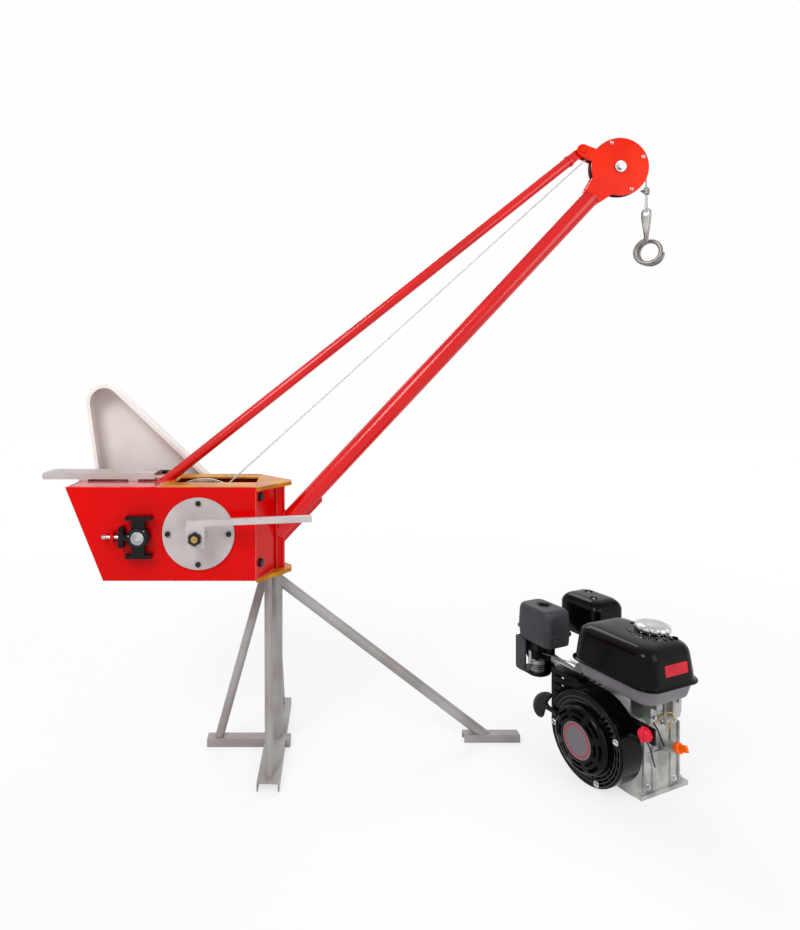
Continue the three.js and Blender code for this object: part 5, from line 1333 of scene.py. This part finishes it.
copies("muffler_guard_bolts", hex_bolt(8, 4, 7),
       [(facing(on_engine(x, y, 447.4), (0, 0, 1), 10), 1) for x, y in GUARD_BOLTS],
       "zinc", "stand", "zinc")
form = bmesh.new()
loft(form, [round_ring(-200, 85, 58 - inset, 43 - inset, 14, z, 6)
            for z, inset in ((332.5, 3), (334, 0.5), (338, 0), (430, 0), (438, 1.5), (442, 5), (443, 10))], ENGINE)
built("muffler_can", form, "black_iron", "stand", "black_iron", "muffler_guard", smooth=50)

# %% [markdown]
# Below the filter is the carburettor: a cast body with a round throat, and a
# bright float bowl under it with three raised bands and a drain screw. One closed
# mesh would need every joint worked out. Blocks and turned forms that run into
# each other look the same, because their joints lie inside.

# %% Carburettor
form = bmesh.new()
block(form, (-298, -84, 254), (-218, -64, 317), ENGINE, 3, 3)
block(form, (-290, -122, 288), (-226, -66, 316), ENGINE, 4, 3)
turned(form, [(0, -64), (22, -64), (22, -70), (19, -72), (19, -112), (22, -114), (22, -121), (18, -123), (0, -123)],
       ENGINE @ Matrix.Translation((-0.258, 0, 0.276)) @ tilt(-90, "X"), 32)
built("carburettor_body", form, "black_iron", "stand", "black_iron", "carburettor")
BOWL = ENGINE @ Matrix.Translation((-0.258, -0.0935, 0))
form = bmesh.new()
turned(form, [(0, 199), (5, 199), (5.5, 203), (9, 205), (17, 206), (22, 209), (24.4, 214), (25, 222), (25, 240),
              (27, 242), (27, 246), (25, 248), (25, 252), (0, 252)], BOWL, 36)
built("carburettor_bowl", form, "alloy", "stand", "alloy", "carburettor")
form = bmesh.new()
for level in (226, 231, 236):
    turned(form, [(0, level), (25.8, level), (26.4, level + 1.2), (25.8, level + 2.4), (0, level + 2.4)], BOWL, 36)
turned(form, [(0, 194.8), (4.6, 194.8), (6.2, 196), (6.2, 200), (0, 200)], BOWL, 6)
built("bowl_bands", form, "black_iron", "stand", "black_iron", "carburettor")

# %% [markdown]
# Round the carburettor are a shiny black cover, the idle screw with its spring
# and the filter's apron. Two flat black plates behind and beside it are painted
# shade: they close the gap between the parts, so that it shows dark. The spring is
# a stack of rings, because at this size a helix can't be told from it. The apron
# is a flat loft that stands on edge, so its rings are made lying down and turned up.

# %% Covers and painted shade round the carburettor
form = bmesh.new()
loft(form, [round_ring(-262, -94, 46 - inset, 38 - inset, 30, z, 8)
            for z, inset in ((207.5, 6), (208, 3), (210, 1), (213, 0), (215, 0.4), (215.6, 2))], ENGINE)
# Two black plates behind and beside the carburettor: painted shade in the gap between the parts.
block(form, (-308, -62, 212), (-214, -57, 318), ENGINE, 2.0, 3)
block(form, (-309, -138, 250), (-303, -64, 320), ENGINE, 2.4, 3)
built("carburettor_cover", form, "black_gloss", "stand", "black_gloss", smooth=45)
form = bmesh.new()
for i in range(7):
    turned(form, [(0, i * 2.2), (4.2, i * 2.2), (4.6, i * 2.2 + 0.7), (4.2, i * 2.2 + 1.4), (0, i * 2.2 + 1.4)],
           ENGINE @ Matrix.Translation((-0.2295, -0.130, 0.262)) @ tilt(90, "X"), 14)
block(form, (-233, -150, 259), (-226, -145.6, 265), ENGINE, 0.8)
built("idle_screw", form, "zinc", "stand", "zinc")
form = bmesh.new()
rings = []
for y, inset in ((-139.6, 4), (-138.6, 1.2), (-137, 0), (-132.4, 0), (-131.4, 1.2)):
    rings.append([(x, y, z) for x, z, _ in round_ring(-286, 266, 22 - inset, 54 - inset, 9, 0, 6)])
loft(form, rings, ENGINE)
built("filter_apron", form, "black_plastic", "stand", "black_plastic", smooth=50)

# %% [markdown]
# The starter's grip is a rubber bar on a stem, bowed away from the pull. It
# could be a cube under a Subdivision Surface. Lofting it through sections that
# swell in the middle and close at the ends, by a power that is blunter than an
# ellipse, gives the same with a known size. It rides on its own body, so that it
# can be pulled.

# %% Starter grip
PULL = (math.cos(math.radians(174)), math.sin(math.radians(174)))
LEAN = (math.cos(math.radians(66)), math.sin(math.radians(66)))
GRIP_Y = -170
SECTIONS = 22
SECTION_SIDES = 24
seat = (-91.0, 160.0)
middle = (seat[0] + 62 * PULL[0], seat[1] + 62 * PULL[1])
form = bmesh.new()
rings = []
for i in range(SECTIONS + 1):
    t = -1 + 2 * i / SECTIONS
    thick = 21.0 * math.sqrt(max(1 - abs(t) ** 3.0, 0.0)) + 0.6
    deep = 16.0 * math.sqrt(max(1 - abs(t) ** 3.4, 0.0)) + 0.6
    back = 9.0 - 19.0 * t * t
    cx = middle[0] + LEAN[0] * 50 * t + PULL[0] * back
    cz = middle[1] + LEAN[1] * 50 * t + PULL[1] * back
    rings.append([(cx + PULL[0] * thick * math.cos(a), GRIP_Y + deep * math.sin(a),
                   cz + PULL[1] * thick * math.cos(a))
                  for a in (2 * math.pi * k / SECTION_SIDES for k in range(SECTION_SIDES))])
loft(form, rings, ENGINE)
built("grip_handle", form, "rubber", "starter_grip", "black_plastic", "starter_grip", smooth=60)
form = bmesh.new()
stem = [on_engine(seat[0] + d * PULL[0], GRIP_Y, seat[1] + d * PULL[1]) for d in (0, 6, 7, 26, 40, 50, 58)]
sizes = [8.5, 8.5, 7.0, 6.4, 8.0, 11.5, 14.0]
swept(form, stem, lambda share: sizes[round(share * (len(sizes) - 1))] * MM, 20)
built("grip_stem", form, "rubber", "starter_grip", "black_plastic", "starter_grip", smooth=60)

# %% [markdown]
# The recoil starter is under a round pressed cover with two rings of slots for
# the cooling air. A Boolean modifier for each slot would be slow. The cover is
# turned with its inside, and all sixteen arcs are cut at once. A plain disc and a
# plain ring lie on its middle.

# %% Recoil cover
form = bmesh.new()
turned(form, [(0, 189.4), (51.5, 189.4), (52.2, 191.2), (53.4, 192.0), (55.0, 191.6), (56.5, 190.4), (70, 188.2),
              (82, 185.0), (88, 181.6), (92, 176.6), (94, 170.0), (94, 160.4), (90.6, 160.4), (90.6, 169),
              (88.6, 174.6), (85.4, 178.6), (80, 181.6), (56, 186.4), (0, 186.4)], FACE, 96)
slots = bmesh.new()
for i in range(8):
    for low, high, half in ((59.5, 67.5, 14.5), (75, 84, 15.5)):
        arc_bar(slots, low, high, 45 * i - half, 45 * i + half, 150, 200, FACE, 10)
form = cut_out(form, slots)
bmesh.ops.remove_doubles(form, verts=form.verts, dist=SEAM)
built("recoil_shell", form, "black_gloss", "stand", "black_gloss", "recoil_cover", smooth=35)
form = bmesh.new()
turned(form, [(0, 189.0), (51, 189.0), (51, 189.7), (50.4, 190.0), (0, 190.0)], FACE, 72)
built("recoil_disc", form, "tank_grey", "stand", "black_plastic", "recoil_cover")
form = bmesh.new()
turned(form, [(40.6, 189.6), (44.4, 189.6), (44.4, 190.3), (43.8, 190.6), (41.2, 190.6), (40.6, 190.3),
              (40.6, 189.6)], FACE, 72)
built("recoil_ring", form, "ring_red", "stand", "red_plastic", "recoil_cover")

# %% [markdown]
# Through the slots one sees the flywheel with its blades, and a screen before
# it. The cover could be left dark inside, but then nothing would move when the
# crank turns. Twenty copies of one blade stand on the flywheel at a slant, as on
# a blower, and turn with the crank. The screen stays with the engine.

# %% Flywheel and screen
BLADES = 20
form = bmesh.new()
turned(form, [(0, 83), (30, 83), (34, 96), (80, 100), (82, 104), (82, 112), (40, 116), (36, 150), (0, 152)], FACE, 48)
built("flywheel", form, "rubber", "crankshaft", "black_iron")
blade = bmesh.new()
block(blade, (-1.4, -20, 0), (1.4, 20, 34), HERE, 0.8)
copies("flywheel_blades", blade,
       [(FACE @ tilt(360 / BLADES * i, "Z") @ Matrix.Translation((0, 0.060, 0.110)) @ tilt(16, "Z"), 1)
        for i in range(BLADES)],
       "rubber", "crankshaft", "black_iron")
form = bmesh.new()
for i in range(5):
    turned(form, [(30 + i * 12, 162), (33 + i * 12, 162), (33 + i * 12, 164), (30 + i * 12, 164), (30 + i * 12, 162)],
           FACE, 48)
for i in range(12):
    block(form, (20, -1.4, 161.6), (92, 1.4, 163.6), FACE @ tilt(30 * i + 8, "Z"), 0.4)
built("recoil_screen", form, "rubber", "stand", "black_gloss")

# %% [markdown]
# The fan shroud leads the air from the flywheel over the cylinder. It could be
# lofted anew, but its solid in the model has the right outline, so a copy of it
# is used. Its outer rim gets a bevel of 6 mm, as on a pressing, the cooling slots
# are cut through its face, and all other edges are rounded last.

# %% Fan shroud
RIM_RADIUS = 0.1285
RIM_HEIGHT = 0.1595
RIM_EDGE = 0.006
SHROUD_EDGE = 0.0008
form = clean_copy("fan_shroud")
inverse = FACE.inverted()


def far_out(edge):
    ends = [inverse @ v.co for v in edge.verts]
    return all(math.hypot(p.x, p.y) > RIM_RADIUS and p.z > RIM_HEIGHT for p in ends)


rim = [e for e in form.edges if len(e.link_faces) == 2 and far_out(e)]
round_edges(form, rim, RIM_EDGE, 4)
slots = bmesh.new()
for i in range(6):
    start = -64 + 13 * i
    for low, high in ((99.5, 104), (108, 112.5), (116.5, 121)):
        arc_bar(slots, low, high, start, start + 9.5, 145, 170, FACE, 4)
for i in range(4):
    block(slots, (99, -2.1, 145), (122, 2.1, 170), FACE @ tilt(32 + 6.5 * i, "Z"), 0)
form = cut_out(form, slots)
bmesh.ops.remove_doubles(form, verts=form.verts, dist=SEAM)
round_edges(form, sharp_edges(form, 50), SHROUD_EDGE)
built("shroud", form, "black_gloss", "stand", "black_gloss", "fan_shroud", smooth=35)

# %% [markdown]
# Low ribs stiffen the shroud between its slots, and three bolts hold it. The
# ribs could be part of the same mesh. As a piece of their own they are a little
# shinier, so that they show on black as they do when light falls along them.

# %% Ribs and bolts of the shroud
form = bmesh.new()
for low, high in ((95.6, 97.4), (105.4, 106.8), (113.8, 115.2), (122.6, 124.4)):
    arc_bar(form, low, high, -68, 16, 158, 161.2, FACE, 24)
for start, end in ((60, 172), (196, 286)):
    for low, high in ((101, 103), (112, 114)):
        arc_bar(form, low, high, start, end, 158, 161.0, FACE, 30)
for low, high in ((96.5, 98.3), (122.6, 124.4)):
    arc_bar(form, low, high, 27, 57, 158, 162.4, FACE, 10)
for angle in (28, 56):
    block(form, (97, -0.9, 158), (124, 0.9, 162.4), FACE @ tilt(angle, "Z"), 0.3)
for i in range(3):
    block(form, (99, -0.8, 158), (122, 0.8, 162.0), FACE @ tilt(35.25 + 6.5 * i, "Z"), 0.3)
built("shroud_ribs", form, "black_rib", "stand", "black_gloss", "fan_shroud")
copies("shroud_bolts", hex_bolt(9, 5, 9),
       [(FACE @ tilt(a, "Z") @ Matrix.Translation((0.1165, 0, 0.160)) @ tilt(17, "Z"), 1) for a in (21, 183, 292)],
       "zinc", "stand", "zinc")

# %% [markdown]
# Under all of it is the aluminium block with its feet. It is dressed as the
# crane's parts are, with wider roundings, as castings have. Ribs, a boss and the
# cover behind the crank are laid over it, and seventeen bolts hold covers and
# feet. A block with all of these in one mesh would be far harder to change.

# %% Engine block and its fittings
CASTING_EDGE = 0.0022
dress("engine_block", CASTING_EDGE, segments=3)
dress("crankshaft", TUBE_EDGE)
dress("choke_lever", TUBE_EDGE)
form = bmesh.new()
for y in (-62, -28, 44, 78):
    block(form, (112, y - 3, 18), (122, y + 3, 190), ENGINE, 2.2, 3)
block(form, (112, -66, 118), (121, 82, 124), ENGINE, 2.2, 3)
block(form, (40, 90, 176), (100, 100, 206), ENGINE, 4, 3)
for x in (-60, 60):
    block(form, (x - 3, 88, 12), (x + 3, 104, 84), ENGINE, 2.2, 3)
turned(form, [(0, 90), (66, 90), (66, 97), (64, 99), (30, 99), (28, 112), (0, 112)], BACK, 40)
built("block_ribs", form, "alloy", "stand", "alloy", smooth=40)
spots = [(BACK @ tilt(51.4 * i + 12, "Z") @ Matrix.Translation((0.076, 0, 0.095)), 1)
         for i in range(7)]
spots += [(facing(on_engine(117.5, y, z), engine_axis(1, 0, 0), 20), 1)
          for y, z in ((-46, 30), (-46, 196), (60, 30), (60, 196), (8, 196), (62, 108))]
spots += [(facing(on_engine(x, y, 12), (0, 0, 1), 15), 1)
          for x in (-80.5, 103.5) for y in (-60, 103)]
copies("block_bolts", hex_bolt(10, 5.5, 9), spots, "zinc", "stand", "zinc")

# %% [markdown]
# The tank stands on two brackets, and a thin rod with a spring runs from the
# governor's arm to the carburettor. The spring of the idle screw was a stack of
# rings. This one is a real helix, because it is long, open and seen from the
# side.

# %% Tank bracket, governor arm and spring
COIL_TURNS, COIL_SIDES = 14, 12
COIL_RADIUS = 4.2
form = bmesh.new()
block(form, (118, 30, 222), (138, 66, 290), ENGINE, 3, 3)
block(form, (60, 34, 212), (138, 62, 226), ENGINE, 3, 3)
block(form, (118, -46, 252), (146, -22, 290), ENGINE, 3, 3)
block(form, (98, -44, 204), (126, -24, 262), ENGINE, 3, 3)
built("tank_bracket", form, "alloy", "stand", "alloy")
copies("bracket_bolts", hex_bolt(11, 6, 10),
       [(facing(on_engine(138, 48, 262), engine_axis(1, 0, 0), 5), 1),
        (facing(on_engine(126, -34, 226), engine_axis(1, 0, 0), 25), 1)],
       "zinc", "stand", "zinc")
form = bmesh.new()
block(form, (126, 6, 196), (129, 16, 262), ENGINE, 1)
swept(form, [on_engine(127.5, 11, 262), on_engine(60, 4, 270), on_engine(-40, -20, 276), on_engine(-140, -70, 282),
             on_engine(-222, -104, 284)], 1.4 * MM, 10)
built("governor_rod", form, "steel", "stand", "zinc")
form = bmesh.new()
coil = []
for i in range(COIL_SIDES * COIL_TURNS + 1):
    angle = 2 * math.pi * i / COIL_SIDES
    coil.append(on_engine(-150 + 60 * i / (COIL_SIDES * COIL_TURNS), -60 + COIL_RADIUS * math.cos(angle),
                          280 + COIL_RADIUS * math.sin(angle)))
swept(form, coil, 0.7 * MM, 6)
built("governor_spring", form, "zinc", "stand", "zinc")

# %% [markdown]
# The engine is switched by a red knob with a pointer, and its oil is read from
# a dipstick with an orange handle. Each could be sculpted by itself, but they
# are alike enough to be made in one way: a turned body with a small wave for the
# grip, and a flat block on top for the fingers. Each turns on its own joint.


# %% Switch and dipstick
def grip_wave(depth, ribs, low, high):
    return lambda angle, height: (1 - depth * max(0.0, math.cos(ribs * angle)) ** 2
                                  if low < height < high else 1.0)


SWITCH = ENGINE @ Matrix.Translation((0.168, -0.1123, 0.216)) @ tilt(90, "X")
form = bmesh.new()
turned(form, [(0, 0), (17, 0), (19, 1.2), (19, 6), (17.4, 7.2), (17.4, 14.5), (16.6, 16.6), (14, 18.2), (0, 19)],
       SWITCH, 40, grip_wave(0.03, 9, 7, 15))
block(form, (-4, -17, 15), (4, 17, 23), SWITCH, 2.6, 3)
block(form, (-3.4, 12, 14), (3.4, 24, 20), SWITCH, 2.4, 3)
built("switch_knob", form, "red_plastic", "engine_switch", "red_plastic", "engine_switch")
STICK_LEAN = 20
STICK = ENGINE @ Matrix.Translation((0.162, 0.012, 0.148)) @ tilt(90 - STICK_LEAN, "Y")
form = bmesh.new()
turned(form, [(0, 0.2), (13.6, 0.2), (15, 1.2), (15, 10.6), (13.8, 12), (10.6, 13), (0, 13)], STICK, 72,
       grip_wave(0.07, 12, 1, 11))
block(form, (-9.6, -4.0, 11), (9.6, 4.0, 35.5), STICK, 3.4, 3)
built("dipstick_cap", form, "orange_plastic", "dipstick", "orange_plastic", "dipstick")

# %% [markdown]
# Thin wires go from the switch and the coil back into the engine. A curve
# object could carry them, but its handles would have to be set for each. A soft
# path is laid through a few points instead, a small circle is swept along it,
# and the same points say how long the wire is.

# %% A wire on the engine
WIRE_STEPS = 26


def smooth_path(points, count):
    """Points along a soft curve through the given ones."""
    points = [Vector(p) for p in points]
    padded = [points[0] * 2 - points[1], *points, points[-1] * 2 - points[-2]]
    result = []
    for i in range(count + 1):
        t = (len(points) - 1) * i / count
        k = min(int(t), len(points) - 2)
        u = t - k
        a, b, c, d = padded[k:k + 4]
        result.append(0.5 * ((2 * b) + (c - a) * u + (2 * a - 5 * b + 4 * c - d) * u * u
                             + (3 * b - 3 * c + d - a) * u ** 3))
    return result


def cable(name, points, radius, finish):
    path = smooth_path([on_engine(*p) for p in points], WIRE_STEPS)
    form = bmesh.new()
    swept(form, path, radius * MM, 10)
    piece = built(name, form, finish, "stand", "black_plastic", smooth=60, even=False)


# %% [markdown]
# The coloured wires are 2.2 mm thick and the black leads 3.6 and 4.4 mm. Each
# leaves one fitting and ends inside another, so no end hangs free. Random points
# would be quicker to write, but a wire lies where its length and its clips let
# it, so each route is given point by point.

# %% Wires on the engine
cable("wire_green", [(150, -106, 222), (146, -100, 236), (130, -84, 246), (112, -66, 244), (104, -52, 234),
                     (100, -46, 222)], 1.1, "wire_green")
cable("wire_yellow", [(122, -20, 206), (134, -8, 226), (140, 12, 236), (138, 30, 226), (130, 36, 206),
                      (124, 36, 186), (120, 30, 168)], 1.1, "wire_yellow")
cable("lead_black", [(122, -34, 214), (134, -30, 196), (137, -18, 168), (134, -2, 142), (128, 14, 126),
                     (120, 22, 118)], 2.2, "rubber")
cable("lead_low", [(150, -104, 200), (142, -92, 186), (140, -70, 160), (134, -48, 120), (126, -30, 92),
                   (120, -20, 80)], 1.8, "rubber")

# %% [markdown]
# ## Floor and light
# The crane is shown on a plain pale floor in an even white room. A bright
# backdrop would throw its own light on the paint and wash it out. Instead the
# floor and the world answer with white only to rays from the camera, from a
# reflection or through glass, and light the crane at a plain level.


# %% Rays that see the room
def seen_rays(tree):
    light_path = add_node(tree, "LightPath")
    seen = light_path.outputs["Is Camera Ray"]
    for label in ("Is Glossy Ray", "Is Transmission Ray"):
        seen = calculate(tree, "MAXIMUM", seen, light_path.outputs[label])
    return seen


# %% [markdown]
# The floor is matt near the crane, where it keeps the shadow, and turns to
# plain white further out, so that no horizon shows. A texture with a soft edge
# could do that. Here the distance from the crane's middle is enough: between 1
# and 3.2 m it is mapped to the share of white.

# %% Floor
FLOOR_HALF = 12
floor_form = bmesh.new()
bmesh.ops.create_grid(floor_form, x_segments=2, y_segments=2, size=FLOOR_HALF)
floor_finish = bpy.data.materials.new("floor_white")
floor_finish.use_nodes = True
tree = floor_finish.node_tree
tree.nodes.remove(tree.nodes["Principled BSDF"])
plain = add_node(tree, "BsdfDiffuse", Color=(0.86, 0.86, 0.86, 1))
glow = add_node(tree, "Emission", Color=(1, 1, 1, 1))
away = add_node(tree, "VectorMath")
away.operation = "DISTANCE"
away.inputs[1].default_value = (0.3, -0.2, 0)
wire(tree, add_node(tree, "TexCoord").outputs["Object"], away.inputs[0])
share = add_node(tree, "MapRange", From_Min=1.0, From_Max=3.2, To_Min=0.72, To_Max=1.0)
wire(tree, away.outputs["Value"], share.inputs["Value"])
joined = add_node(tree, "MixShader")
wire(tree, calculate(tree, "MULTIPLY", seen_rays(tree), share.outputs["Result"]), joined.inputs["Fac"])
wire(tree, plain.outputs["BSDF"], joined.inputs[1])
wire(tree, glow.outputs["Emission"], joined.inputs[2])
wire(tree, joined.outputs["Shader"], tree.nodes["Material Output"].inputs["Surface"])
floor = add_piece("floor", floor_form, floor_finish)
print("floor", 2 * FLOOR_HALF, "m wide")

# %% [markdown]
# The room looks white but lights the crane with less than that: if all of the
# light came from the world, the paint would clip and have no shape. The same rays
# choose between the two. An image of a room would light it too, but would tie the
# looks to one place.

# %% Room light
ROOM_LIGHT = 0.62
world = bpy.data.worlds.new("room")
bpy.context.scene.world = world
world.use_nodes = True
tree = world.node_tree
back = tree.nodes["Background"]
back.inputs["Color"].default_value = (0.97, 0.98, 1.0, 1)
back.inputs["Strength"].default_value = ROOM_LIGHT
white = add_node(tree, "Background", Color=(0.99, 0.99, 0.99, 1), Strength=1.0)
choose = add_node(tree, "MixShader")
wire(tree, seen_rays(tree), choose.inputs["Fac"])
wire(tree, back.outputs["Background"], choose.inputs[1])
wire(tree, white.outputs["Background"], choose.inputs[2])
wire(tree, choose.outputs["Shader"], tree.nodes["World Output"].inputs["Surface"])
print("room light", ROOM_LIGHT)

# %% [markdown]
# Three soft lamps give the crane its shape: the main one in front on the left,
# a weaker one on the right, and one behind for the edges. Small lamps would draw
# hard shadows and points of glare on the gloss paint, so these are rectangles of
# one to two metres.


# %% Lamps
def add_lamp(name, place, aim, size, watts):
    data = bpy.data.lights.new(name, "AREA")
    data.shape = "RECTANGLE"
    data.size, data.size_y = size
    data.energy = watts
    lamp = bpy.data.objects.new(name, data)
    lamp.location = place
    lamp.rotation_euler = (Vector(aim) - Vector(place)).to_track_quat("-Z", "Y").to_euler()
    bpy.context.scene.collection.objects.link(lamp)
    print(name, "lamp", watts, "W")


add_lamp("key", (-1.6, -2.6, 3.4), (0.2, 0, 0.9), (1.6, 1.6), 85)
add_lamp("fill", (2.8, -2.4, 1.6), (0.3, 0, 0.8), (1.6, 2.2), 30)
add_lamp("back", (0.4, 2.6, 3.0), (0.3, 0, 1.0), (2.2, 1.2), 40)
